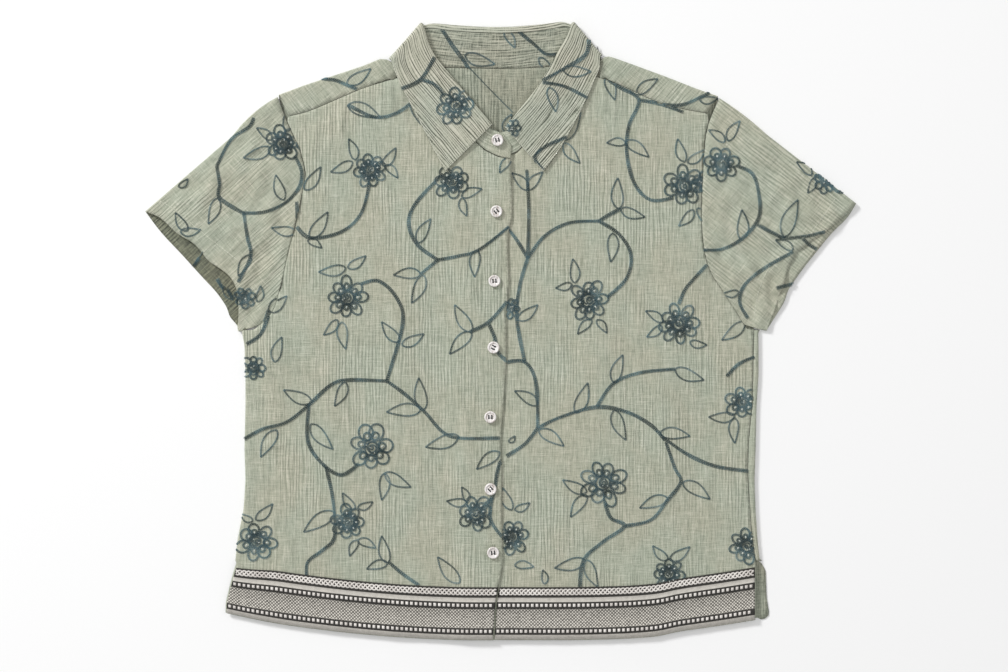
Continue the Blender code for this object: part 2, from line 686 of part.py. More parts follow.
def lying_section(station):
    """A section where the collar lies on the face or behind the back."""
    turn, fold_x, fold_y, free_x, free_y, seam_x, seam_y, crown = station
    side = -1 if fold_x < 0 else 1
    up = 1 if turn < 90 else -1
    fold, free = Vector((fold_x, fold_y)), Vector((free_x, free_y))
    away = (free - fold).normalized()
    roll = ROLL if up > 0 else (crown - COLLAR_CLOTH / 2 - BEHIND_CLEARANCE) / 2
    centre = fold + away * (roll + COLLAR_CLOTH / 2)
    start = centre + away * ROLL_TO_STAND
    line = [(start.x, start.y, crown)]
    for a in between(-pi / 2, pi / 2, ROLL_POINTS):
        spot = centre - away * roll * cos(a)
        line.append((spot.x, spot.y, crown + up * roll * (1 + sin(a))))
    fall_z = crown + up * roll * 2
    for share in FALL_ROWS:
        spot = centre + (free - centre) * share
        behind = fall_z + (COLLAR_CLOTH / 2 - fall_z) * step(0.0, FALL_SETTLED, share)
        height = leaf_height(spot.x, spot.y, crown, share, side) if up > 0 else behind
        line.append((spot.x, spot.y, height))
    top = start + away * SEAM
    if up < 0:
        seam_z = lower_height(seam_x, seam_y)
    else:
        seam_z = (lap_height if side < 0 else upper_height)(seam_x, seam_y)
    return line, (top.x, top.y, crown), (seam_x, seam_y, seam_z)


def rolling_section(station):
    """A section where the collar rolls from the face to behind the back, at a neck side."""
    turn, fold_x, fold_y, free_x, free_y, seam_x, seam_y, _ = station
    side = -1 if fold_x < 0 else 1
    fold, free = Vector((fold_x, fold_y)), Vector((free_x, free_y))
    away = (free - fold).normalized()
    out = outward(away, side)
    angle = radians(turn)
    middle = (SIDE_CROWN_FACE + SIDE_CROWN_BEHIND) / 2
    stand_radius = (SIDE_CROWN_FACE - SIDE_CROWN_BEHIND) / 2
    widest = middle - COLLAR_CLOTH / 2 - BEHIND_CLEARANCE
    fall_radius = blend((stand_radius + 2 * ROLL,), (widest,), turn / 180)[0]
    inner = fold - out * (fall_radius + COLLAR_CLOTH / 2)
    mean, roll = (stand_radius + fall_radius) / 2, (fall_radius - stand_radius) / 2
    centre = inner + away * (ROLL + COLLAR_CLOTH / 2)

    def placed(spot, spot_middle, radius):
        moved = spot + out * radius * sin(angle)
        return moved.x, moved.y, spot_middle + radius * cos(angle)

    start = centre + away * ROLL_TO_STAND
    line = [placed(start, middle, stand_radius)]
    for a in between(-pi / 2, pi / 2, ROLL_POINTS):
        line.append(placed(centre - away * ROLL * cos(a), middle, mean + roll * sin(a)))
    for share in FALL_ROWS:
        face = leaf_height(*(centre + (free - centre) * share), SIDE_CROWN_FACE, share, side)
        face = max(face, SIDE_FREE_FACE)
        behind = COLLAR_CLOTH / 2 + BEHIND_CLEARANCE
        if turn >= 90:
            settled = step(0.0, FALL_SETTLED, share)
            behind = blend((middle - fall_radius,), (COLLAR_CLOTH / 2,), settled)[0]
        radius = (face - behind) / 2
        spot = centre + (free - out * (radius + COLLAR_CLOTH / 2) - centre) * share
        line.append(placed(spot, (face + behind) / 2, radius))
    top = start + away * SEAM
    face, behind = upper_height(seam_x, seam_y), lower_height(seam_x, seam_y)
    radius = (face - behind) / 2
    seam = Vector((seam_x, seam_y)) - out * radius
    return line, placed(top, middle, stand_radius), placed(seam, (face + behind) / 2, radius)


def strip_mesh(name, sections, thickness, flip):
    """A strip of cloth through sections with equal numbers of points."""
    points = [point for section in sections for point in section]
    width = len(sections[0])
    faces = []
    for i in range(len(sections) - 1):
        for k in range(width - 1):
            a = i * width + k
            quad = (a, a + 1, a + width + 1, a + width)
            faces.append(quad[::-1] if flip else quad)
    piece = new_object(name, mesh_of(name, points, faces), CLOTH_COLOUR, 0.9)
    thicken(piece, thickness, even=False)
    return piece


def stand_section(top, seam):
    """One section of the stand, from its upper edge to the neck seam."""
    return [blend(top, seam, share) for share in STAND_ROWS]


def stand_end_sections(name):
    """The stand's sections beyond the fall, at a front edge."""
    sections = []
    for top_x, top_y, seam_x, seam_y in STAND_ENDS[name]:
        height = lap_height if name == "right" else upper_height
        sections.append(stand_section(
            (top_x, top_y, height(top_x, top_y)), (seam_x, seam_y, height(seam_x, seam_y))
        ))
    return sections


def make_collar():
    """The collar's fall and its stand."""
    built = [
        rolling_section(station) if station[7] is None else lying_section(station)
        for station in collar_stations()
    ]
    strip_mesh("collar", [line for line, _, _ in built], COLLAR_CLOTH, False)
    stands = [stand_section(top, seam) for _, top, seam in built]
    sections = [*stand_end_sections("right"), *stands, *reversed(stand_end_sections("left"))]
    strip_mesh("collar_stand", sections, COLLAR_CLOTH, True)


def slab(name, below, above, colour, roughness):
    """A closed solid between two equal grids of points, given as rows."""
    rows, columns = len(below), len(below[0])
    points = [point for row in below for point in row] + [point for row in above for point in row]
    half = rows * columns
    faces = []
    for i in range(rows - 1):
        for k in range(columns - 1):
            a = i * columns + k
            quad = (a, a + 1, a + columns + 1, a + columns)
            faces.append(tuple(half + index for index in quad))
            faces.append(quad[::-1])
    rim = [k for k in range(columns)]
    rim += [i * columns + columns - 1 for i in range(1, rows)]
    rim += [(rows - 1) * columns + k for k in range(columns - 2, -1, -1)]
    rim += [i * columns for i in range(rows - 2, 0, -1)]
    for a, b in zip(rim, rim[1:] + rim[:1]):
        faces.append((a, b, half + b, half + a))
    return new_object(name, mesh_of(name, points, faces), colour, roughness)


def border_share(x):
    """The border's height at a place along the hem, as a share; it narrows at the vent."""
    start, end, share = BORDER_NARROWS
    return 1.0 - share * step(-start, -end, -x)


def border_ends(side, up):
    """Where a border's row begins and ends, at a height over the hem."""
    if side < 0:
        vent = [(y, x) for x, y in (*LEFT_VENT, HEM[0])]
        left = at(vent, BORDER_LEFT_FOOT + up * border_share(HEM[0][0])) + BORDER_LEFT_INSET
        return left, at(CENTRE_EDGE, BORDER_FRONT_FOOT + up) - BORDER_INSET
    return at(CENTRE_EDGE, BORDER_UNDER_FOOT + up) + BORDER_UNDER_INSET, BORDER_RIGHT_END


def make_border(name, side):
    """The woven border on a front's lower edge, made from the front's points moved out."""
    hem = smooth_curve(HEM, 2)
    ups = [BORDER_INSET]
    rises = [BORDER_BANDS[0][1]]
    for (top, rise), (_, following) in zip(BORDER_BANDS, BORDER_BANDS[1:]):
        ups += [top - BAND_EDGE, top + BAND_EDGE]
        rises += [rise, following]
    ups.append(BORDER_HEIGHT)
    rises.append(BORDER_BANDS[-1][1])
    surface = lay_right_front if side < 0 else lay_left_front
    below, above = [], []
    for up, rise in zip(ups, rises):
        left, right = border_ends(side, up)
        row_below, row_above = [], []
        for x in between(left, right, BORDER_COLUMNS):
            y = at(hem, x) + up * border_share(x)
            z = surface(x, y)[2] + CLOTH / 2 + SEAM + LIE_CLEARANCE
            row_below.append((x, y, z))
            row_above.append((x, y, z + BORDER_CLOTH + rise))
        below.append(row_below)
        above.append(row_above)
    return slab(name, below, above, BORDER_COLOUR, 0.92)


def button_mesh():
    """A four-hole button with a raised rim, centred, standing on its underside."""
    shape = bmesh.new()
    rings = []
    for radius_share, height_share in BUTTON_PROFILE:
        ring = []
        for k in range(BUTTON_SIDES):
            angle = 2 * pi * k / BUTTON_SIDES
            radius = BUTTON_RADIUS * radius_share * MM
            height = BUTTON_THICKNESS * height_share * MM
            ring.append(shape.verts.new((radius * cos(angle), radius * sin(angle), height)))
        rings.append(ring)
    for low, high in zip(rings, rings[1:]):
        for k in range(BUTTON_SIDES):
            n = (k + 1) % BUTTON_SIDES
            shape.faces.new((low[k], low[n], high[n], high[k]))
    shape.faces.new(reversed(rings[0]))
    shape.faces.new(rings[-1])
    disc_mesh = bpy.data.meshes.new("button_disc")
    shape.to_mesh(disc_mesh)
    shape.free()
    disc = bpy.data.objects.new("button_disc", disc_mesh)
    bpy.context.scene.collection.objects.link(disc)
    holes_shape = bmesh.new()
    for x_side in (-1, 1):
        for y_side in (-1, 1):
            made = bmesh.ops.create_cone(
                holes_shape, cap_ends=True, segments=BUTTON_HOLE_SIDES, radius1=BUTTON_HOLE_RADIUS * MM,
                radius2=BUTTON_HOLE_RADIUS * MM, depth=4 * BUTTON_THICKNESS * MM,
            )
            place = (x_side * BUTTON_HOLE_SPREAD * MM, y_side * BUTTON_HOLE_SPREAD * MM, 0.0)
            bmesh.ops.translate(holes_shape, verts=made["verts"], vec=place)
    holes_mesh = bpy.data.meshes.new("button_holes")
    holes_shape.to_mesh(holes_mesh)
    holes_shape.free()
    holes = bpy.data.objects.new("button_holes", holes_mesh)
    bpy.context.scene.collection.objects.link(holes)
    cut = disc.modifiers.new("Holes", "BOOLEAN")
    cut.operation = "DIFFERENCE"
    cut.object = holes
    bpy.context.view_layer.update()
    cut_disc = disc.evaluated_get(bpy.context.evaluated_depsgraph_get())
    mesh = bpy.data.meshes.new_from_object(cut_disc)
    mesh.name = "button"
    bpy.data.objects.remove(disc, do_unlink=True)
    bpy.data.objects.remove(holes, do_unlink=True)
    return mesh


def make_buttons():
    """The seven buttons, each on the overlapping front or on the stand's end."""
    mesh = button_mesh()
    finish = new_material("button_finish", BUTTON_COLOUR, 0.3)
    mesh.materials.clear()
    mesh.materials.append(finish)
    for number, (x, y) in enumerate(BUTTON_PLACES, 1):
        button = bpy.data.objects.new(f"button_{number}", mesh)
        reach = BUTTON_RADIUS * BUTTON_SEAT
        cloth = COLLAR_CLOTH if number == 1 else CLOTH
        spots = [(x + reach * cos(a), y + reach * sin(a)) for a in between(0.0, 2 * pi, BUTTON_SEAT_PLACES)]
        height = max(lap_height(*spot) for spot in spots) + cloth / 2 + SEAM + LIE_CLEARANCE
        height += STAND_END_RISE if number == 1 else 0.0
        button.location = (x * MM, y * MM, height * MM)
        bpy.context.scene.collection.objects.link(button)


def main():
    """Builds the shirt."""
    for old in list(bpy.data.objects):
        bpy.data.objects.remove(old, do_unlink=True)
    make_back()
    make_right_front()
    make_left_front()
    make_sleeve("sleeve_right", -1)
    make_sleeve("sleeve_left", 1)
    make_collar()
    make_border("hem_border_right", -1)
    make_border("hem_border_left", 1)
    make_buttons()


main()
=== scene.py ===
"""Looks of a short-sleeved button-up shirt of crinkled cloth, laid flat, face up.

Every cut piece is a thin shell with its own grain, laid as the frame's solids lie.  On
them come chain-stitched vines and flowers, a woven border on the hem, rows of stitches,
buttonholes and buttons.  Tables are in millimetres from the middle of the laid outline,
X across the shirt, +Y towards the collar; meshes are in metres.
"""

from __future__ import annotations

import logging
from collections.abc import Callable, Iterable, Sequence
from dataclasses import dataclass, field
from enum import Enum
from functools import cached_property
from math import cos, hypot, pi, radians, sin

import bpy
import numpy as np
from bpy.types import Material, Mesh, Node, NodeSocket, Object
from mathutils import Matrix, Vector, geometry
from mathutils.bvhtree import BVHTree
from mathutils.kdtree import KDTree

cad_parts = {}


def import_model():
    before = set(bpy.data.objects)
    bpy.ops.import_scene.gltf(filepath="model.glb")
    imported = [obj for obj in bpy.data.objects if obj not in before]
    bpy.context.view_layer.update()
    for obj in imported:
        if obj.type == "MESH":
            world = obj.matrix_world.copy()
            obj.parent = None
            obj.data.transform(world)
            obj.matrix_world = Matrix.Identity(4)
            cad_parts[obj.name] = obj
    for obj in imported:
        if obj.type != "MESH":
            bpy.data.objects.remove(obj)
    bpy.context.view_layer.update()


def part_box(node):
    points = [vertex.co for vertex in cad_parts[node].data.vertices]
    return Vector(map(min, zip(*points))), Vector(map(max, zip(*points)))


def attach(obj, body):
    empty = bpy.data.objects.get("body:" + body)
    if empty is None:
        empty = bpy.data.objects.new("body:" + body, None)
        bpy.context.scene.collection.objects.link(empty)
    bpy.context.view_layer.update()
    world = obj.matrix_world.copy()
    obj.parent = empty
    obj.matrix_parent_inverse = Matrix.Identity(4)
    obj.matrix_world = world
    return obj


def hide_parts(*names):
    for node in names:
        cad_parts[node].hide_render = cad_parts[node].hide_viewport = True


LOG = logging.getLogger("shirt")
MM = 0.001

Place = tuple[float, float]
Row = tuple[float, ...]


class Side(Enum):
    """A side of the laid shirt; its value is the sign of X there."""

    RIGHT = -1  # the wearer's right
    LEFT = 1


class Piece(Enum):
    """The cut pieces that things are sewn on."""

    BACK = "back"
    FRONT_RIGHT = "front_right"
    FRONT_LEFT = "front_left"
    SLEEVE_RIGHT = "sleeve_right"
    SLEEVE_LEFT = "sleeve_left"
    COLLAR = "collar"
    STAND = "collar_stand"


# Cloth
CLOTH = 1.2  # height that a solid's wall takes
SHELL = 0.5  # thickness of the cloth that is seen
COLLAR_CLOTH = 1.5  # the same two for the collar, which has two layers
COLLAR_SHELL = 1.0
SEAM = 0.3  # gap between two solids that are sewn together
SEAM_GAP = 0.45  # gap between two cut edges that meet
LOWER = 0.6  # height of the back's cloth
UPPER = 3.8  # height of the cloth on the face
LAP_RISE = 1.65  # how far the overlapping front lies over the other
FOLD_SHARE = 0.85  # share of the largest folds' rise that the cloth takes
FOLD_EASE = 5.0  # finer creases fade this far from a rolled edge
TUCK_UNDER = 8.0  # cloth of the right front that goes on under the back
NECK_LIFT = 1.95  # how far the collar's fall, behind the neck, lifts the cloth on it
NECK_MIDDLE = -5.0
NECK_LIFT_ACROSS = (112.0, 150.0)  # it fades between these distances from the neck's middle
NECK_LIFT_UP = (214.0, 247.0)  # and between these heights on the body
NECK_INSET = (0.35, 0.55)  # across, down: the fronts' neck edge beside the stand's seam
UNDERLAP_SHOWS = (-4.0, 16.0)  # x between which the hidden front starts to have its creases
CUT_MARGIN = 1.02  # a tube's flat width is a little more than its area over its length
CLEAR_OF_LINES = 0.45  # share of the spacing that inner points keep from outlines and bends

# Outlines of the body
VENT_TOP = -231
UNDERARM = 0
LEFT_SIDE = (  # y, x of the laid edge
    (0, -259.8), (-15, -256.8), (-45, -255.8), (-75, -255.8), (-120, -256.8),
    (-150, -255.8), (-180, -257.8), (-210, -263.8), (-231, -266),
)
RIGHT_SIDE = (  # y, x of the laid edge
    (0, 258), (-15, 258.3), (-45, 258.3), (-75, 256.3), (-120, 255.3),
    (-150, 254.3), (-180, 255.3), (-210, 257.3), (-231, 259.5),
)
RIGHT_SEAM = (  # y, x where the back's cloth ends on the face
    (0, 253.4), (-70, 252), (-114, 248), (-140, 247.3), (-191, 250.3),
    (-215, 252.6), (-231, 254.8),
)
LEFT_VENT = ((-264, -231), (-267, -241), (-271.5, -258), (-274.8, -272))  # x, y
RIGHT_VENT = ((254.4, -231), (255.8, -236), (255.6, -262))  # x, y
BACK_TAIL = ((261.8, -234), (265.2, -241), (266.3, -268), (269, -285), (263, -290.5))
HEM = (  # x, y of the fronts' lower edge
    (-275.2, -283), (-240, -290.5), (-200.8, -297), (-130, -305), (-60.8, -309.4),
    (0, -310), (89.3, -309.8), (149.3, -307), (179.3, -301.5), (220, -295.5), (254.6, -290),
)
BACK_HEM_RISE = 3
LEFT_SHOULDER = (  # x, y of the laid edge
    (-226, 234.2), (-195.8, 245.4), (-165.8, 255.4), (-135.8, 265.2), (-120.8, 271.4),
    (-113.5, 270.8), (-109, 268.2), (-103.8, 266),
)
RIGHT_SHOULDER = (  # x, y of the laid edge
    (97, 268.6), (101.5, 271.4), (105.5, 274.2), (111.3, 273.2), (134.3, 265.2),
    (164.3, 254.2), (194.3, 242.4), (222, 232.6),
)
LEFT_YOKE_SEAM = ((-212.3, 214), (-190.8, 219.6), (-157.8, 233.6), (-135.8, 242.6), (-103.8, 252))
RIGHT_YOKE_SEAM = ((97, 253), (124.3, 243), (159.3, 227), (184, 221), (206.3, 217))
NECK_SPAN = (-103.8, 97)
SHOULDER_LEAN = (19.4, -20)  # degrees that the shoulder folds lean from +X
SHOULDER_BENDS = ((-228, -101), (94, 226))
SHOULDERS_FROM = 150
CENTRE_EDGE = (  # y, x of the overlapping front's edge
    (171, 10.3), (115, 11.3), (100, 8), (75, 7.3), (46, 8.3), (20, 5.6),
    (-32, 5.3), (-72, 3.3), (-112, 0.4), (-160, 1.3), (-210, 1.3), (-230, 2.3),
    (-249, -0.7), (-267, -4.7), (-310, -7.7),
)
UNDERLAP_EDGE = ((171, -10), (-310, -24))  # y, x of the front underneath
LAP_START, LAP_FULL = -58, -30
LAP_EDGE = 14
NECK_TOP = 170
LEFT_ARMHOLE = (
    (-222.6, 233.4), (-214.8, 212), (-206, 192), (-199.8, 178), (-195.4, 158),
    (-196.8, 144), (-203.8, 112), (-212.8, 75), (-220.8, 41), (-229, 17), (-246, 1),
)
RIGHT_ARMHOLE = (
    (218.4, 232), (211.3, 217), (205.8, 201), (203.3, 180), (200.8, 130),
    (201.3, 99), (204.3, 75), (211.3, 55), (223.3, 37), (246, 1),
)
ARMHOLE_TOP = {Side.RIGHT: 211, Side.LEFT: 213.0}
ARMHOLE_FOOT = (-250, -0.2)
BACK_ARMHOLE_BOW = 4
LEFT_CUFF = (
    (-355.6, 118.4), (-340.3, 112), (-323.3, 96.5), (-308.3, 87.5), (-299.8, 79),
    (-291.8, 69), (-273.3, 56), (-264.5, 43), (-262, 25), (-262.8, 4.5),
)
LEFT_CUFF_BELOW = (
    (-355.6, 118.4), (-339.8, 97.5), (-318.3, 74.5), (-298.8, 53), (-285.3, 38.5),
    (-274.8, 23.5), (-271, 13), (-262.8, 4.5),
)
RIGHT_CUFF = (
    (355.6, 126.4), (344.3, 114), (324.3, 98), (306.3, 85), (295.3, 76),
    (287.3, 60), (282.3, 43), (277.3, 28), (271, 12), (266, -0.5),
)
RIGHT_CUFF_BELOW = (
    (355.6, 126.4), (346.8, 112.5), (330.8, 96.5), (312.8, 74.5), (301.8, 60.5),
    (288, 40.5), (284, 29), (276, 15.5), (266, -0.5),
)
UNDERARM_POINT = {Side.RIGHT: (-257.2, 2.2), Side.LEFT: (255.8, 1.6)}
COLLAR = (  # lying, fold x, fold y, free x, free y, seam x, seam y, crown
    (1, -7.9, 205.3, -55, 158.7, -15.8, 180, 6.6),
    (1, -22.8, 223, -66.4, 178.7, -36.8, 200, 6.8),
    (1, -37.8, 240.8, -77.8, 202.2, -56.8, 219, 7),
    (1, -52.8, 258.6, -89.4, 224.2, -75.8, 237, 7.2),
    (1, -66.2, 275.2, -99.4, 243.6, -91, 251.5, 7.3),
    (1, -73.2, 291, -106.8, 260.5, -98.5, 260, 7.2),
    (0, -80, 308.6, -112.4, 272.2, -102, 265.5, 5.4),
    (-1, -68, 307.6, -92, 262.5, -90, 264.5, 4.3),
    (-1, -45, 305.4, -52, 254, -54.8, 262.8, 5.8),
    (-1, 0, 303.2, 0, 252, 0, 261.6, 7.2),
    (-1, 44, 306.6, 50, 254, 36.3, 262.8, 5.8),
    (-1, 62, 309.2, 84, 264, 80, 266, 4.3),
    (0, 73.6, 309.3, 102, 275.6, 95.2, 270.2, 5.4),
    (1, 65.8, 293.6, 99.6, 263.4, 90, 265.5, 7.2),
    (1, 56.4, 278.2, 95.2, 252.2, 81.3, 256, 7.3),
    (1, 43.6, 254.2, 84.6, 228, 66.3, 238, 7.2),
    (1, 30.4, 235.2, 71.6, 202.2, 51.3, 217, 7),
    (1, 16.4, 218, 57.6, 178.2, 35.3, 197, 6.8),
    (1, 4.2, 202.4, 42.8, 158.2, 15.3, 177, 6.6),
)
STAND_ENDS = {  # top x, top y, seam x, seam y beyond the fall, nearest last
    Side.RIGHT: ((10.9, 184.4, 10, 171.6), (7, 190.6, 6, 171.9), (1.4, 197.4, -2, 173.4)),
    Side.LEFT: ((-3.2, 194, -2.4, 174.2), (0.6, 198.6, 6, 175.4)),
}

# Creases: a soft ridge from one point to another, with a bell-shaped section
FOLDS = (  # x1, y1, x2, y2, half width, rise: the largest, which the solids have too
    (27, 150, 27, -20, 9, 1.3), (-161, 226, -165, 172, 7, 1.2),
    (-178, 216, -182, 160, 7, 0.9), (-246, -8, -200, -26, 8, 1.1),
    (-248, -52, -212, -66, 8, 1), (252, -55, 192, -25, 8, 1.3),
    (-250, -96, -188, -72, 9, 0.9), (-186, 120, -168, -100, 22, 1),
    (192, 120, 168, -90, 22, 1), (-104, 110, -92, -230, 25, 1.2),
    (98, 110, 92, -230, 25, 1.1), (156, 30, 166, -260, 20, 0.9),
    (-172, -60, -180, -262, 22, 1), (-47, 30, -42, -250, 15, 0.7),
    (-236, 196, -320, 116, 15, 1.2), (-212, 130, -284, 80, 12, 1),
    (-216, 70, -262, 46, 9, 0.9), (232, 198, 326, 126, 15, 1.1),
    (214, 130, 288, 84, 12, 1), (222, 64, 272, 44, 9, 0.9),
)
CREASES = (  # x1, y1, x2, y2, half width, rise: finer ones
    (-156, 230, -160, 196, 2.6, 1.5), (-104, 262, -95, 218, 1.8, 1.6), (-170, 224, -172, 176, 2.4, 1.2),
    (-146, 232, -147, 204, 2.2, 0.7), (-184, 214, -190, 170, 2.8, 0.8),
    (-112, 250, -108, 214, 2.6, 1.9), (-120, 246, -119, 206, 2.4, 1.4),
    (103, 250, 105, 212, 3, 1.2), (112, 246, 114, 204, 2.6, 0.8),
    (-252, -14, -214, -40, 3.2, 1.1), (-252, -30, -220, -50, 2.6, 0.9),
    (-252, -66, -206, -74, 3.2, 1), (-250, -84, -220, -100, 2.8, 0.8),
    (-250, -118, -206, -112, 3, 0.8), (-250, -140, -226, -148, 2.6, 0.7),
    (-236, -20, -228, -84, 4, 0.8), (-222, -30, -218, -96, 3.2, 0.6),
    (256, -56, 194, -26, 2.6, 1.2), (250, -20, 214, -6, 3, 0.9),
    (252, -90, 222, -98, 3, 0.8), (250, -128, 226, -120, 2.8, 0.7),
    (-230, 196, -296, 142, 4, 1.3), (-222, 176, -276, 124, 3.4, 1.4),
    (-228, 226, -244, 196, 3.4, 1.3), (-238, 150, -252, 122, 4.4, 1.1), (-282, 140, -322, 124, 3.6, 1.1),
    (-240, 110, -296, 88, 3.6, 1.2), (-226, 96, -270, 66, 3.2, 1.3),
    (-232, 56, -258, 22, 3.4, 1), (-246, 62, -262, 34, 2.8, 0.9),
    (226, 190, 290, 150, 4, 1.1), (220, 160, 282, 108, 3.4, 1.1),
    (240, 100, 300, 98, 3.4, 1.2), (236, 84, 262, 34, 3.2, 1.2),
    (250, 92, 274, 50, 3, 1.1), (262, 78, 268, 12, 3.6, 1),
    (226, 60, 254, 10, 3, 1), (-60, -150, -56, -232, 4, 0.5),
    (60, -120, 66, -228, 4, 0.5), (136, 40, 140, -60, 5, 0.5),
    (-136, 60, -132, -60, 5, 0.5), (204, -130, 212, -226, 5, 0.6),
    (-222, -160, -232, -226, 4.5, 0.7), (20, 160, 19, 70, 2.2, 0.9), (13.4, 184, 12.8, 144, 1.6, -1.6),
    (282, 94, 330, 100, 1.9, 2.6), (288, 70, 283, 42, 1.8, 1.2), (296, 92, 284, 62, 2.4, 1.3),
    (-345, 129, -300, 98, 1.6, 0.8),
    (-304, 100, -258, 62, 1.6, 1), (-96, 236, -90, 200, 2, -1.2), (104, 276, 104, 246, 1.8, -1.9),
    (-110, 271, -106, 246, 1.8, -2), (-87, 226, -84, 196, 1.8, -1), (84, 222, 78, 196, 2.2, -1),
    (30, 150, 28, 60, 3, 0.7), (-30, 158, -26, 110, 3, 0.6),
)


# Vines: places that a stem passes, leaves from base to tip, and flowers
VINES: dict[Piece, tuple[tuple[Place, ...], ...]] = {
    Piece.SLEEVE_RIGHT: (
        ((-247, 212), (-252, 203), (-270, 190), (-284, 164)),
        ((-284, 164), (-281, 146), (-281, 132), (-258, 117)),
        ((-258, 117), (-236, 118), (-216, 127), (-202, 142), (-199, 158), (-206, 174)),
        ((-257, 117), (-253, 92), (-250, 74), (-262, 48)),
        ((-204, 128), (-203, 108)),
        ((-232, 20), (-238, 2)), ((-307, 64), (-302, 72)), ((-284, 51), (-279, 43), (-276, 42)),
        ((-274, 41), (-268, 31)),
    ),
    Piece.FRONT_RIGHT: (
        ((-204, 103), (-190, 92), (-160, 98), (-140, 116), (-131, 147)),
        ((-153, 225), (-126, 213), (-104, 217), (-86, 230)),
        ((-58, 156), (-84, 128), (-92, 108), (-84, 86), (-63, 70)),
        ((-63, 70), (-42, 74), (-22, 80), (8, 103)),
        ((-63, 70), (-80, 56)),
        ((-140, 46), (-122, 49), (-104, 32), (-98, 6), (-114, -51)),
        ((-258, -110), (-238, -99), (-214, -92), (-192, -75), (-170, -55), (-152, -50), (-114, -51)),
        ((-114, -51), (-96, -64), (-76, -82), (-58, -102), (-40, -108), (-1, -108)),
        ((-192, -74), (-193, -110), (-180, -132), (-160, -145), (-142, -134)),
        ((-175, -136), (-168, -168), (-166, -206), (-178, -220), (-193, -232), (-194, -248)),
        ((-31, -2), (-12, 8), (6, 28)),
        ((-12, 6), (-6, -8), (-3, -22), (6, -31)),
        ((6, -124), (-2, -136), (-8, -166), (-16, -174)),
        ((-9, -168), (-10, -190), (4, -210)),
        ((-112, -232), (-98, -244), (-82, -255)),
        ((-232, 16), (-240, -4), (-254, -14)),
    ),
    Piece.FRONT_LEFT: (
        ((26, 160), (28, 120), (27, 72)),
        ((6, 103), (16, 90), (27, 72)),
        ((27, 72), (44, 94), (68, 107), (98, 109)),
        ((98, 109), (108, 115), (119, 121)),
        ((98, 109), (118, 96), (130, 76), (126, 52), (107, 33)),
        ((27, 72), (19, 44), (16, 12), (24, -32)),
        ((6, -32), (24, -32), (35, -52), (37, -98)),
        ((37, -98), (24, -114), (6, -126)),
        ((37, -98), (60, -87), (96, -77), (126, -82), (150, -95), (164, -110)),
        ((96, -77), (112, -54), (138, -43), (174, -39)),
        ((162, -107), (186, -124), (214, -136), (247, -141)),
        ((165, -112), (174, -138), (180, -152), (166, -171), (150, -190), (124, -196)),
        ((104, -172), (110, -188), (124, -196), (102, -212), (83, -230), (79, -257)),
        ((104, 252), (118, 243), (138, 230), (128, 204), (126, 176), (134, 146), (150, 130), (172, 132)),
        ((138, 230), (160, 226), (182, 218)),
        ((178, 26), (184, 40), (192, 50), (206, 65)),
        ((226, -46), (238, -34), (253, -27)),
    ),
    Piece.SLEEVE_LEFT: (
        ((203, 80), (222, 81), (242, 92), (258, 112), (258, 136), (252, 156), (237, 164)),
        ((257, 105), (272, 97), (285, 92), (306, 94), (324, 98)),
        ((314, 155), (328, 146), (338, 138), (350, 140)),
        ((292, 78), (264, 62), (244, 45), (239, 28), (247, 12)), ((302, 91), (309, 85), (316, 81)),
        ((276, 42), (284, 44), (293, 46)),
    ),
    Piece.BACK: (
        ((154, 226), (180, 225), (200, 233), (214, 240)), ((-179, 251), (-166, 250), (-154, 245),
        (-144, 241)),
    ),
    Piece.COLLAR: (
        ((-66, 272), (-80, 250), (-99, 241)),
        ((-80, 250), (-66, 245), (-56, 234)),
        ((88, 290), (84, 274), (60, 259), (42, 249)),
        ((42, 247), (64, 243), (90, 230)),
        ((66, 193), (44, 183), (34, 172), (42, 160)),
    ),
    Piece.STAND: (
        ((-61, 304), (-48, 284), (-36, 268), (-30, 256)),
        ((18, 298), (34, 285), (45, 276), (58, 276)),
    ),
}
THIN_VINES: dict[Piece, tuple[tuple[Place, ...], ...]] = {  # one row only
    Piece.BACK: (((-31, 262), (-10, 240), (12, 218)),),
    Piece.SLEEVE_RIGHT: (((-309, 64), (-298, 78)), ((-280, 46), (-276, 34), (-268, 30))),
}
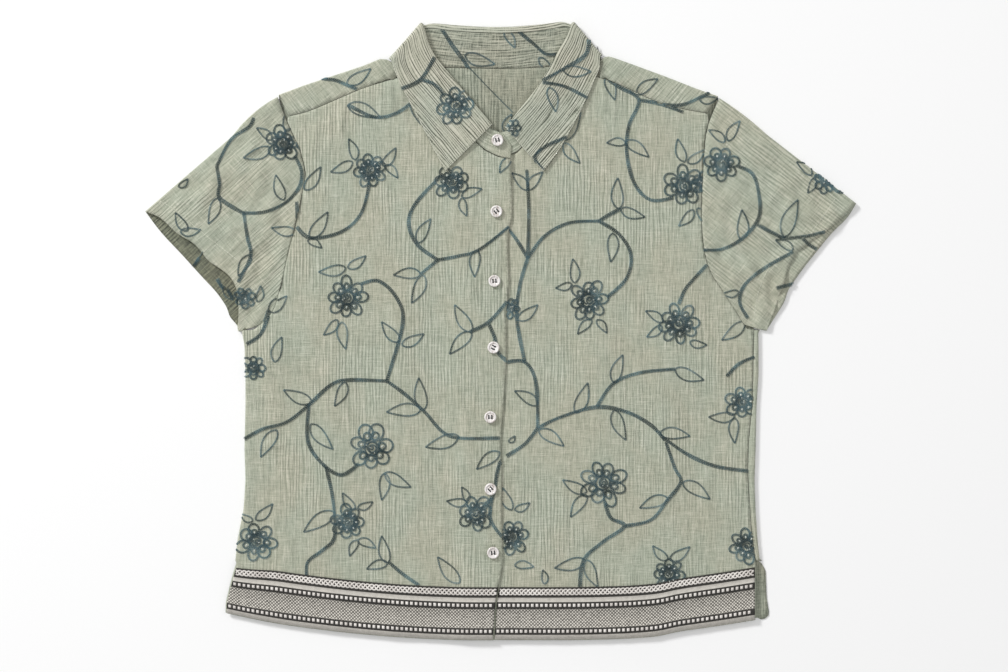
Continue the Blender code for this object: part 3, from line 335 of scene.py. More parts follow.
LEAVES: dict[Piece, tuple[Row, ...]] = {  # base x, base y, tip x, tip y
    Piece.SLEEVE_RIGHT: (
        (-229, 190, -244, 202), (-230, 182, -257, 172), (-214, 198, -214, 222), (-217, 130, -225, 155),
        (-201, 180, -195, 217), (-283, 132, -292, 106), (-250, 75, -262, 54), (-313, 99, -325, 117),
        (-320, 98, -300, 100), (-205, 98, -229, 102), (-243, 28, -240, 44), (-232, 18, -214, 34),
        (-322, 143, -313, 151),
    ),
    Piece.FRONT_RIGHT: (
        (-232, 18, -214, 34), (-89, 229, -80, 206), (-145, 170, -152, 191), (-148, 168, -170, 158),
        (-118, 164, -105, 182), (-115, 165, -103, 152),
        (-191, 92, -173, 118), (-193, 90, -179, 82), (-196, 140, -180, 163), (-155, 62, -182, 58),
        (-153, 62, -135, 74), (-163, 10, -177, -5), (-159, 8, -155, -19), (-83, 87, -70, 111),
        (-80, 56, -107, 55), (-77, 55, -89, 27), (-24, 80, -26, 53), (-39, 133, -19, 141),
        (-39, 132, -34, 114), (-101, -12, -119, 8), (-99, -15, -77, -4), (-29, -2, -46, 25),
        (-29, -2, -51, -24), (-189, -72, -217, -60), (-190, -94, -168, -119), (-155, -52, -166, -76),
        (-224, -100, -240, -127), (-77, -80, -82, -48), (-80, -80, -114, -82), (-42, -106, -75, -117),
        (-116, -143, -90, -157), (-116, -143, -119, -170), (-166, -182, -197, -202),
        (-146, -180, -158, -163), (-143, -178, -128, -172), (-143, -210, -125, -218),
        (-143, -210, -151, -226), (-248, -191, -260, -184), (-245, -190, -228, -174),
        (-113, -233, -119, -206), (-113, -233, -134, -239), (-34, -172, -54, -171),
        (-33, -172, -39, -157), (-41, -253, -63, -227), (10, 172, -1, 157), (-226, -32, -219, -7),
        (-1, -122, -24, -139), (-153, 225, -120, 212),
    ),
    Piece.FRONT_LEFT: (
        (63, 187, 79, 167), (65, 190, 80, 218), (27, 140, 11, 157), (27, 140, 42, 158),
        (17, 10, 37, 25), (118, 121, 117, 152), (120, 121, 144, 113), (112, 97, 110, 68),
        (74, 47, 72, 71), (71, 46, 55, 42), (91, 10, 77, -4), (96, 10, 106, -3), (125, 187, 106, 187),
        (125, 189, 148, 173), (37, -75, 14, -61), (38, -100, 63, -116), (75, -83, 87, -53),
        (113, -53, 122, -25), (113, -80, 125, -110), (159, -103, 189, -106), (174, -39, 203, -50),
        (182, -152, 209, -169), (167, -168, 139, -178), (84, -230, 54, -238), (86, -230, 97, -257),
        (184, 168, 177, 191), (187, 167, 204, 180), (193, 120, 178, 104), (205, 148, 208, 127),
        (197, 122, 202, 108), (162, 8, 145, 19), (161, 4, 146, -7), (189, -12, 206, -15),
        (86, -162, 62, -150), (86, -165, 70, -187), (234, -86, 208, -87), (234, -88, 234, -113),
        (167, -230, 152, -216), (169, -230, 189, -217), (11, -180, 2, -158), (14, -180, 29, -173),
        (14, -235, 33, -237), (44, -254, 42, -240), (105, 252, 114, 230), (129, 238, 157, 250),
        (244, 8, 221, -10), (8, -112, 14, -106),
    ),
    Piece.SLEEVE_LEFT: (
        (224, 188, 208, 200), (227, 189, 239, 209), (241, 90, 241, 120), (283, 93, 297, 130),
        (311, 155, 296, 168), (314, 152, 307, 137), (292, 80, 275, 90), (238, 38, 222, 36),
    ),
    Piece.BACK: ((199, 230, 217, 232), (4, 198, 11, 216), (-154, 246, -130, 261), (136, 236, 157, 251)),
    Piece.COLLAR: ((62, 260, 90, 258), (48, 242, 55, 218)),
    Piece.STAND: ((-36, 275, -6, 266), (4, 298, 14, 282), (38, 272, 52, 262)),
}
FLOWERS: dict[Piece, tuple[Row, ...]] = {  # x, y, size, turn in degrees, filling
    Piece.SLEEVE_RIGHT: ((-218, 186, 18, 5, 1), (-256, 32, 10.5, 10, 0.9)),
    Piece.FRONT_RIGHT: (
        (-131, 160, 17, 12, 1), (-153, 32, 21, 0, 0.3), (-129, -118, 23, 15, 0.2),
        (-152, -192, 17, 8, 0.9), (-244, -211, 20, 0, 0.6), (-25, -184, 18, 14, 0.6),
        (-48, 148, 18, 20, 0.7), (-247, -38, 13, 0, 0.6),
    ),
    Piece.FRONT_LEFT: (
        (88, 30, 20, 6, 0.4), (183, 144, 20, 0, 0.6), (178, 6, 20, 10, 0.5), (103, -153, 23, 22, 0.2),
        (242, -72, 17, 4, 0.5), (246, -216, 18, 12, 0.4), (168, -244, 16, 0, 0.3), (12, -207, 17, 8, 0.6),
        (10, 22, 10, 0, 0.8), (201, 148, 10, 0, 0.9),
    ),
    Piece.SLEEVE_LEFT: ((221, 166, 18, 12, 0.5), (324, 148, 11, 0, 0.3)),
    Piece.COLLAR: ((-45, 224, 20, 10, 0.2), (12, 201, 8.5, 0, -0.7)),
}

# Rows of stitches on the face
STITCHES: dict[Piece, tuple[tuple[Place, ...], ...]] = {
    Piece.SLEEVE_RIGHT: (((-344, 130), (-327, 121), (-299, 98), (-262, 69)),),
    Piece.SLEEVE_LEFT: (((335, 132), (310, 96)), ((269, 65), (258, 39), (253, 10))),
    Piece.FRONT_RIGHT: (
        ((-2, 168), (-2, 60), (-6, -60), (-10, -160), (-9, -254)),
        ((8, 168), (8.5, 116), (5, 90), (5.6, 46), (3, 20), (2.5, -32), (0, -80), (-2, -112),
        (-2, -228), (-5, -254)),
    ),
}

# Woven border: bands up from the hem
BORDER_BANDS = (  # bottom, top, rise, finish
    (0.6, 5.6, 0.15, "cream"), (5.6, 12.2, 0.45, "charcoal"), (12.2, 31.4, 0.1, "lattice"),
    (31.4, 38.2, 0.45, "charcoal"), (38.2, 42.8, 0.2, "cream"), (42.8, 44.9, 0.5, "charcoal"),
    (44.9, 51.3, 0.15, "charcoal"), (51.3, 53, 0.5, "charcoal"),
)
BORDER_NARROWS = (-215, -275, 0.11)
BORDER_ENDS = {Side.RIGHT: (-283, -306), Side.LEFT: (-309, -290)}
BORDER_LEFT_INSET, BORDER_INSET, BORDER_UNDER_INSET, BORDER_RIGHT_END = 1, 0.6, 1.2, 254
SQUARE_ROWS = (8.9, 34.8)
SQUARE_PITCH = 4.65
BRAID_MIDDLE, BRAID_WAVE, BRAID_REACH, BRAID_CORD = 48.1, 13.2, 2.6, 0.82

# Buttons
BUTTON_RADIUS = 6.1
BUTTON_THICKNESS = 2.6
BUTTON_PROFILE = (  # radius share, height share
    (0.80, 0), (0.93, 0.08), (0.99, 0.24), (1, 0.42), (0.985, 0.66), (0.93, 0.88), (0.86, 0.98),
    (0.79, 1), (0.73, 0.95), (0.68, 0.84), (0.62, 0.74), (0.54, 0.70), (0.3, 0.68),
)
BUTTON_HOLE_RADIUS = 0.8
BUTTON_HOLE_SPREAD = 1.5
BUTTON_TURNS = (12, 38, 4, 64, 0, 44, 5)


def at(table: Iterable[Row], value: np.ndarray | float) -> np.ndarray:
    """Reads a two-column table.

    Args:
        table: Rows of two numbers, in any order.
        value: Where to read it, in its first column.

    Returns:
        The second column's value there.
    """
    rows = sorted(table)
    return np.interp(value, [row[0] for row in rows], [row[1] for row in rows])


def step(low: float, high: float, value: np.ndarray | float) -> np.ndarray:
    """A smooth step from 0 at low to 1 at high."""
    share = np.clip((np.asarray(value, float) - low) / (high - low), 0, 1)
    return share * share * (3 - 2 * share)


def between(low: float, high: float, count: int) -> list[float]:
    """Evenly spaced values, ends included."""
    return [low + (high - low) * k / (count - 1) for k in range(count)]


def smooth_curve(points: Sequence[Row], per_span: int) -> list[Row]:
    """A Catmull-Rom curve.

    Args:
        points: Places of any dimension that it passes.
        per_span: Steps between two of them.

    Returns:
        The curve's points, both ends included.
    """
    out = []
    for i in range(len(points) - 1):
        a = points[max(i - 1, 0)]
        b, c = points[i], points[i + 1]
        d = points[min(i + 2, len(points) - 1)]
        for k in range(per_span):
            t = k / per_span
            out.append(tuple(
                0.5 * (2 * q + (r - p) * t + (2 * p - 5 * q + 4 * r - s) * t**2
                       + (3 * q - p - 3 * r + s) * t**3)
                for p, q, r, s in zip(a, b, c, d)
            ))
    out.append(tuple(points[-1]))
    return out


def evenly(points: Sequence[Row], count: int) -> list[Row]:
    """Spaces a line's points evenly.

    Args:
        points: The line.
        count: How many points it gets.

    Returns:
        The same line with that many points.
    """
    line = np.asarray(points, float)
    lengths = np.concatenate([[0], np.cumsum(np.linalg.norm(np.diff(line, axis=0), axis=1))])
    goals = np.linspace(0, lengths[-1], count)
    return [tuple(row) for row in np.stack([np.interp(goals, lengths, c) for c in line.T], axis=1)]


def spaced(points: Sequence[Row], spacing: float) -> list[Row]:
    """The same line with points about spacing apart."""
    length = sum(hypot(b[0] - a[0], b[1] - a[1]) for a, b in zip(points, points[1:]))
    return evenly(points, max(2, round(length / spacing) + 1))


def blend(first: Row, second: Row, share: float) -> Row:
    """A point part of the way between two."""
    return tuple(a + (b - a) * share for a, b in zip(first, second))


def roll_over(value: np.ndarray, near: np.ndarray, far: np.ndarray) -> tuple[np.ndarray, np.ndarray]:
    """Cloth that passes a fold line and rolls over it.

    Args:
        value: The cloth's distance past the line, where it begins to roll.
        near: Its height before the roll.
        far: Its height after it.

    Returns:
        How far past the line it ends up, and its height.
    """
    radius = np.abs(far - near) / 2
    angle = np.clip(value / radius, 0, pi)
    rolled = np.where(value < pi * radius, radius * np.sin(angle), pi * radius - value)
    return np.where(value <= 0, value, rolled), near + (far - near) / 2 * (1 - np.cos(angle))


@dataclass(frozen=True)
class Crinkle:
    """Repeatable value noise, for the crinkles that no crease table holds."""

    seed: int
    cells: int = 256

    @cached_property
    def grid(self) -> np.ndarray:
        """The noise's values at whole places."""
        return np.random.default_rng(self.seed).uniform(-1, 1, (self.cells, self.cells))

    def __call__(self, u: np.ndarray, v: np.ndarray, across: float, along: float) -> np.ndarray:
        """Reads the noise.

        Args:
            u: Places across its cells.
            v: Places along them.
            across: A cell's width.
            along: A cell's length.

        Returns:
            Values from -1 to 1.
        """
        a, b = np.asarray(u, float) / across, np.asarray(v, float) / along
        i, j = np.floor(a).astype(int), np.floor(b).astype(int)
        s, t = a - i, b - j
        s, t = s * s * (3 - 2 * s), t * t * (3 - 2 * t)

        def cell(di: int, dj: int) -> np.ndarray:
            """The value at one of a cell's corners."""
            return self.grid[(i + di) % self.cells, (j + dj) % self.cells]

        low = cell(0, 0) * (1 - s) + cell(1, 0) * s
        high = cell(0, 1) * (1 - s) + cell(1, 1) * s
        return low * (1 - t) + high * t


def ridges(table: Sequence[Row], x: np.ndarray, y: np.ndarray) -> np.ndarray:
    """Adds up the creases of a table.

    Args:
        table: Both ends, half width and rise of each.
        x: Across, on the laid shirt.
        y: Up, on the laid shirt.

    Returns:
        How far they lift the cloth there.
    """
    total = np.zeros(np.broadcast(x, y).shape)
    for x1, y1, x2, y2, width, rise in table:
        dx, dy = x2 - x1, y2 - y1
        share = ((x - x1) * dx + (y - y1) * dy) / (dx * dx + dy * dy)
        near = np.clip(share, 0, 1)
        away = np.hypot(x - x1 - dx * near, y - y1 - dy * near) / width
        total = total + rise * step(0, 0.25, share) * step(0, 0.25, 1 - share) * np.exp(-away * away)
    return total


@dataclass(frozen=True)
class Lay:
    """How the shirt's cloth lies: heights of the middle of the cloth over the surface."""

    crinkle: Crinkle = field(default_factory=lambda: Crinkle(11))
    fine_rise: float = 0.22
    fine_cells: Place = (5.5, 38)  # across, along
    soft_rise: float = 0.32
    soft_cells: Place = (21, 64)
    elsewhere: float = 900.0  # offset that keeps the two sorts of crinkle apart

    def neck_lift(self, x: np.ndarray, y: np.ndarray) -> np.ndarray:
        """How far the collar's fall, behind the neck, lifts the cloth that is on it."""
        across = 1 - step(*NECK_LIFT_ACROSS, np.abs(x - NECK_MIDDLE))
        return NECK_LIFT * across * step(*NECK_LIFT_UP, y)

    def lower(self, x: np.ndarray, y: np.ndarray) -> np.ndarray:
        """Height of the back's cloth."""
        return LOWER + self.neck_lift(x, y)

    def upper(self, x: np.ndarray, y: np.ndarray) -> np.ndarray:
        """Height of the cloth on the face."""
        return UPPER + FOLD_SHARE * ridges(FOLDS, x, y) + self.neck_lift(x, y)

    def lap(self, x: np.ndarray, y: np.ndarray) -> np.ndarray:
        """Height of the overlapping front, which passes over the other near the buttons."""
        return self.upper(x, y) + LAP_RISE * step(LAP_START, LAP_FULL, x)

    def fine(self, x: np.ndarray, y: np.ndarray) -> np.ndarray:
        """The finer creases and crinkles of the face."""
        soft = self.crinkle(x + self.elsewhere, y + self.elsewhere, *self.soft_cells)
        fine = self.crinkle(x, y, *self.fine_cells)
        return ridges(CREASES, x, y) + self.fine_rise * fine + self.soft_rise * soft

    def shoulder_fold(self, x: np.ndarray) -> tuple[np.ndarray, np.ndarray]:
        """Y where the back's cloth begins to roll over the shoulder, and the roll's radius."""
        edge = np.where(np.asarray(x) < 0, at(LEFT_SHOULDER, x), at(RIGHT_SHOULDER, x))
        radius = (self.upper(x, edge) - self.lower(x, edge)) / 2
        return edge - radius - CLOTH / 2, radius

    def side_fold(self, side: Side, y: np.ndarray) -> tuple[np.ndarray, np.ndarray]:
        """X where the cloth begins to roll at a side of the body, and the roll's radius."""
        edge = at(LEFT_SIDE if side is Side.RIGHT else RIGHT_SIDE, y)
        radius = (self.upper(edge, y) - self.lower(edge, y)) / 2
        return edge - side.value * (radius + CLOTH / 2), radius

    def back(self, x: np.ndarray, y: np.ndarray) -> tuple[np.ndarray, np.ndarray]:
        """Lays the back.

        Args:
            x: Across the cut cloth.
            y: Up the cut cloth.

        Returns:
            Where its points lie, and its grain: cut coordinates, mirrored past a shoulder.
        """
        place = np.stack([x, y, self.lower(x, y)], axis=1)
        grain = np.stack([x, y], axis=1)
        start, _ = self.shoulder_fold(x)
        over = (y > SHOULDERS_FROM) & ((x < NECK_SPAN[0]) | (x > NECK_SPAN[1])) & (y > start)
        past, height = roll_over(y - start, self.lower(x, start), self.upper(x, start))
        laid = start + past
        face = self.upper(x, laid) + self.fine(x, laid) * step(0, FOLD_EASE, -past)
        place[over, 1] = laid[over]
        place[over, 2] = np.where(past <= 0, face, height)[over]
        double = 2 * np.where(x < 0, *np.radians(SHOULDER_LEAN))
        mirrored = np.stack([
            np.cos(double) * x + np.sin(double) * laid, np.sin(double) * x - np.cos(double) * laid
        ], axis=1)
        grain[over] = mirrored[over]
        fold, _ = self.side_fold(Side.LEFT, y)
        beside = (x > fold) & (y >= VENT_TOP) & (y <= UNDERARM)
        past, height = roll_over(x - fold, self.lower(fold, y), self.upper(fold, y))
        laid = fold + past
        face = self.upper(laid, y) + self.fine(laid, y) * step(0, FOLD_EASE, -past)
        place[beside, 0] = laid[beside]
        place[beside, 2] = np.where(past <= 0, face, height)[beside]
        return place, grain

    def front_right(self, x: np.ndarray, y: np.ndarray) -> tuple[np.ndarray, np.ndarray]:
        """Lays the overlapping front, whose side edge rolls underneath; see back."""
        fold, _ = self.side_fold(Side.RIGHT, y)
        ease = step(0, FOLD_EASE, x - fold)
        place = np.stack([x, y, self.lap(x, y) + self.fine(x, y) * ease], axis=1)
        beside = (x < fold) & (y >= VENT_TOP) & (y <= UNDERARM)
        past, height = roll_over(fold - x, self.upper(fold, y), self.lower(fold, y))
        place[beside, 0] = (fold - past)[beside]
        place[beside, 2] = height[beside]
        return place, np.stack([x, y], axis=1)

    def front_left(self, x: np.ndarray, y: np.ndarray) -> tuple[np.ndarray, np.ndarray]:
        """Lays the front underneath at the buttons; see back."""
        height = self.upper(x, y) + self.fine(x, y) * step(*UNDERLAP_SHOWS, x)
        return np.stack([x, y, height], axis=1), np.stack([x, y], axis=1)


LAY = Lay()
HEM_CURVE = smooth_curve(HEM, 6)


def armhole(side: Side, below: bool, count: int = 15) -> list[Place]:
    """An armhole's edge.

    Args:
        side: Which armhole.
        below: Whether it is the back's edge rather than the face's.
        count: How many points it has.

    Returns:
        Its points, from the shoulder down.
    """
    table = LEFT_ARMHOLE if side is Side.RIGHT else RIGHT_ARMHOLE
    points = evenly(smooth_curve(table, 6), count)
    if not below:
        return points
    return [
        (x + side.value * BACK_ARMHOLE_BOW * sin(pi * k / (count - 1)), y)
        for k, (x, y) in enumerate(points)
    ]


def hem_points(first: float, last: float) -> list[Place]:
    """The hem's points between two values of x."""
    inner = [x for x, _ in HEM_CURVE if first + 1 < x < last - 1]
    return [(x, float(at(HEM_CURVE, x))) for x in (first, *inner, last)]


def neck_seam(side: Side) -> list[Place]:
    """The fronts' neck edge: the stand's seam, from the centre to the shoulder."""
    rows = COLLAR[:6] if side is Side.RIGHT else tuple(reversed(COLLAR[13:]))
    points = [(end[2], end[3]) for end in STAND_ENDS[side]] + [(row[5], row[6]) for row in rows]
    across, down = NECK_INSET
    return [(x + side.value * across, y - down) for x, y in points]


def roll_lines(fold_of: Callable, places: Sequence[float], outwards: int, across: bool,
               count: int = 7) -> list[list[Place]]:
    """The lines along which cloth bends as it rolls over a fold.

    Args:
        fold_of: Gives the fold's position and radius at a place along it.
        places: Where along the fold the lines have points.
        outwards: The sign of the way that the cloth goes past the fold.
        across: Whether the fold runs along X.
        count: How many lines share the half turn.

    Returns:
        One line of points for each.
    """
    lines = []
    for number in range(count):
        line = []
        for place in places:
            start, radius = (float(value) for value in fold_of(place))
            value = start + outwards * radius * pi * number / (count - 1)
            line.append((place, value) if across else (value, place))
        lines.append(line)
    return lines


def shoulder_strip(side: Side) -> list[Place]:
    """The back's cut edge beyond a shoulder, from the armhole's side in or out as the table runs."""
    seam = LEFT_YOKE_SEAM if side is Side.RIGHT else tuple(reversed(RIGHT_YOKE_SEAM))
    points = []
    for x, y in smooth_curve(seam, 4):
        start, radius = (float(value) for value in LAY.shoulder_fold(x))
        points.append((x, start + pi * radius + start - y))
    return points


def back_outline() -> tuple[list[Place], list[list[Place]]]:
    """The back's cut outline and the lines that it bends along."""
    side = []
    for y in between(VENT_TOP, UNDERARM, 60):
        start, radius = (float(value) for value in LAY.side_fold(Side.LEFT, y))
        side.append((start + pi * radius + start - float(at(RIGHT_SEAM, y)), y))
    neck = [(row[5], row[6] - SEAM_GAP) for row in reversed(COLLAR[7:12])]
    ends = [(x, float(LAY.shoulder_fold(x)[0])) for x in reversed(NECK_SPAN)]
    left_edge = [
        (float(LAY.side_fold(Side.RIGHT, y)[0]) + TUCK_UNDER + SEAM_GAP, y)
        for y in between(UNDERARM, VENT_TOP, 40)
    ]
    hem = [(x, y + BACK_HEM_RISE) for x, y in hem_points(-262, 254)]
    outline = [
        *hem, *reversed(BACK_TAIL), (float(LAY.side_fold(Side.LEFT, VENT_TOP)[0]), VENT_TOP), *side,
        (float(LAY.side_fold(Side.LEFT, UNDERARM)[0]), UNDERARM),
        *reversed(armhole(Side.LEFT, True, 60)[:-3]), *shoulder_strip(Side.LEFT), ends[0], *neck, ends[1],
        *reversed(shoulder_strip(Side.RIGHT)),
        *[point for point in armhole(Side.RIGHT, True, 60) if point[1] > 3], *left_edge,
    ]
    places = between(UNDERARM + 1, VENT_TOP - 1, 60)
    bends = roll_lines(lambda y: LAY.side_fold(Side.LEFT, y), places, 1, False)
    for low, high in SHOULDER_BENDS:
        bends += roll_lines(LAY.shoulder_fold, between(low, high, 40), 1, True)
    return outline, bends


def front_right_outline() -> tuple[list[Place], list[list[Place]]]:
    """The overlapping front's cut outline and the lines that it bends along."""
    top = [(x, y - SEAM_GAP) for x, y in smooth_curve(tuple(reversed(LEFT_YOKE_SEAM)), 4)]
    arm = [point for point in armhole(Side.RIGHT, False, 60) if point[1] < ARMHOLE_TOP[Side.RIGHT]]
    side = []
    for y in between(UNDERARM, VENT_TOP, 60):
        start, radius = (float(value) for value in LAY.side_fold(Side.RIGHT, y))
        side.append((start - pi * radius - TUCK_UNDER, y))
    centre = [(x, y) for y, x in smooth_curve(tuple(reversed(CENTRE_EDGE)), 6) if y < NECK_TOP]
    vent = (float(LAY.side_fold(Side.RIGHT, VENT_TOP)[0]), VENT_TOP)
    outline = [
        *centre, *neck_seam(Side.RIGHT)[:-1], *top, *arm, ARMHOLE_FOOT, *side, vent,
        *LEFT_VENT[1:], *hem_points(HEM[0][0], -20),
    ]
    places = between(UNDERARM + 2, VENT_TOP - 1, 60)
    return outline, roll_lines(lambda y: LAY.side_fold(Side.RIGHT, y), places, -1, False)


def front_left_outline() -> tuple[list[Place], list[list[Place]]]:
    """The cut outline of the front underneath."""
    top = [(x, y - SEAM_GAP) for x, y in smooth_curve(tuple(reversed(RIGHT_YOKE_SEAM)), 4)]
    arm = [point for point in armhole(Side.LEFT, False, 60) if point[1] < ARMHOLE_TOP[Side.LEFT]]
    side = [(float(at(RIGHT_SEAM, y)) - SEAM_GAP, y) for y in between(VENT_TOP, UNDERARM - 0.2, 60)]
    under = [(float(at(UNDERLAP_EDGE, y)), y) for y in between(165, -309, 60)]
    return [
        *reversed(neck_seam(Side.LEFT)[:-1]), *under, *hem_points(-24, HEM[-1][0])[1:],
        *reversed(RIGHT_VENT), *side, *reversed(arm), *top,
    ], []


def make_mesh(name: str, points: np.ndarray, faces: Sequence[Sequence[int]],
              grain: np.ndarray | None = None) -> Mesh:
    """A smooth-shaded mesh.

    Args:
        name: The mesh's name.
        points: Places in millimetres, one row a point.
        faces: Indices into points.
        grain: Cut coordinates of each point in millimetres, kept as a UV map.

    Returns:
        The mesh, in metres.
    """
    mesh = bpy.data.meshes.new(name)
    mesh.from_pydata((np.asarray(points, float) * MM).tolist(), [], [tuple(face) for face in faces])
    mesh.polygons.foreach_set("use_smooth", np.ones(len(mesh.polygons), bool))
    if grain is not None:
        index = np.empty(len(mesh.loops), np.int32)
        mesh.loops.foreach_get("vertex_index", index)
        layer = mesh.uv_layers.new(name="Grain")
        layer.data.foreach_set("uv", (np.asarray(grain, float) * MM)[index].ravel())
    mesh.update()
    return mesh


def make_object(name: str, mesh: Mesh, *materials: Material) -> Object:
    """Links a mesh as an object with its materials."""
    piece = bpy.data.objects.new(name, mesh)
    bpy.context.scene.collection.objects.link(piece)
    for material in materials:
        mesh.materials.append(material)
    return piece


def settle(piece: Object) -> None:
    """Applies an object's modifiers."""
    bpy.context.view_layer.update()
    evaluated = piece.evaluated_get(bpy.context.evaluated_depsgraph_get())
    mesh = bpy.data.meshes.new_from_object(evaluated)
    piece.modifiers.clear()
    piece.data = mesh


def grid_faces(rows: int, columns: int, closed: bool = False, flip: bool = False,
               first: int = 0) -> list[tuple[int, ...]]:
    """Joins rows of points.

    Args:
        rows: How many rows there are.
        columns: How many points each has.
        closed: Whether each row comes round to its first point.
        flip: Whether the faces look the other way.
        first: The first point's index.

    Returns:
        The faces between the rows, one row of them after another.
    """
    faces = []
    for i in range(rows - 1):
        start = first + i * columns
        for k in range(columns if closed else columns - 1):
            a, b = start + k, start + (k + 1) % columns
            quad = (a, b, b + columns, a + columns)
            faces.append(quad[::-1] if flip else quad)
    return faces


def circle(count: int) -> list[Place]:
    """Points round a circle of radius 1, counter-clockwise from +X."""
    return [(cos(2 * pi * k / count), sin(2 * pi * k / count)) for k in range(count)]


def sheet_area(points: np.ndarray, faces: Sequence[Sequence[int]]) -> float:
    """Adds up the faces of an open sheet.

    Args:
        points: Its points in millimetres.
        faces: Indices into points.

    Returns:
        Its area in square metres.
    """
    total = 0
    for face in faces:
        corners = points[list(face)]
        for k in range(1, len(face) - 1):
            total += np.linalg.norm(np.cross(corners[k] - corners[0], corners[k + 1] - corners[0])) / 2
    return float(total) * MM * MM


@dataclass
class Shell:
    """One cut piece of cloth: its middle surface, its grain and how thick it looks."""

    piece: Piece
    points: np.ndarray
    faces: list[Sequence[int]]
    grain: np.ndarray
    slot: str
    thickness: float = SHELL
    rounding: int = 0

    def build(self, face: Material, inside: Material) -> Object:
        """Makes the shell, hides the solid that it replaces and logs how it was cut.

        Args:
            face: The material of the side that its faces look to.
            inside: The other side's material.

        Returns:
            The laid cloth.
        """
        mesh = make_mesh(self.piece.value, self.points, self.faces, self.grain)
        cloth = make_object(f"cloth_{self.piece.value}", mesh, face, inside)
        if self.rounding:
            rounder = cloth.modifiers.new("Round", "SUBSURF")
            rounder.levels = rounder.render_levels = self.rounding
            rounder.boundary_smooth = "PRESERVE_CORNERS"
        wall = cloth.modifiers.new("Wall", "SOLIDIFY")
        wall.thickness = self.thickness * MM
        wall.offset = 0
        wall.use_quality_normals = True
        wall.material_offset = 1
        settle(cloth)
        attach(cloth, "root")
        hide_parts(self.piece.value)
        low, high = self.grain.min(axis=0), self.grain.max(axis=0)
        width, length = ((high - low) * MM).tolist()
        area = sheet_area(self.points, self.faces)
        if area > width * length:
            width = area / length * CUT_MARGIN
        LOG.info("%s: %d points, %.3f m2 of %.3f x %.3f", cloth.name, len(self.points), area, width, length)
        return cloth


def cut_shell(piece: Piece, outline: Sequence[Place], bends: Sequence[Sequence[Place]], spacing: float,
              lay: Callable, slot: str) -> Shell:
    """Cuts a panel and lays it.

    Args:
        piece: Which panel it is.
        outline: Its flat outline, counter-clockwise.
        bends: Lines that its points must follow.
        spacing: Distance between its points.
        lay: Gives the place and the grain of flat points.
        slot: Its material slot in the record.

    Returns:
        The laid panel.
    """
    rim = spaced([*outline, outline[0]], spacing)[:-1]
    points = [tuple(point) for point in rim]
    edges = []
    for line in bends:
        first = len(points)
        points += line
        edges += [(first + k, first + k + 1) for k in range(len(line) - 1)]
    walls = spaced([*outline, outline[0]], spacing / 3)
    for line in bends:
        walls += spaced(line, spacing / 3)
    near = KDTree(len(walls))
    for number, (x, y) in enumerate(walls):
        near.insert((x, y, 0), number)
    near.balance()
    low, high = np.min(outline, axis=0), np.max(outline, axis=0)
    for j in range(int((high[1] - low[1]) / spacing) + 1):
        for i in range(int((high[0] - low[0]) / spacing) + 1):
            spot = (low[0] + (i + 0.5 * (j % 2)) * spacing, low[1] + j * spacing)
            if near.find((*spot, 0))[2] > CLEAR_OF_LINES * spacing:
                points.append(spot)
    flat, _, faces, *_ = geometry.delaunay_2d_cdt(
        [Vector(point) for point in points], edges, [list(range(len(rim)))], 1, 1e-4
    )
    used = sorted({index for face in faces for index in face})
    number = {index: new for new, index in enumerate(used)}
    spots = np.array([flat[index] for index in used])
    place, grain = lay(spots[:, 0], spots[:, 1])
    return Shell(piece, place, [[number[index] for index in face] for face in faces], grain, slot)


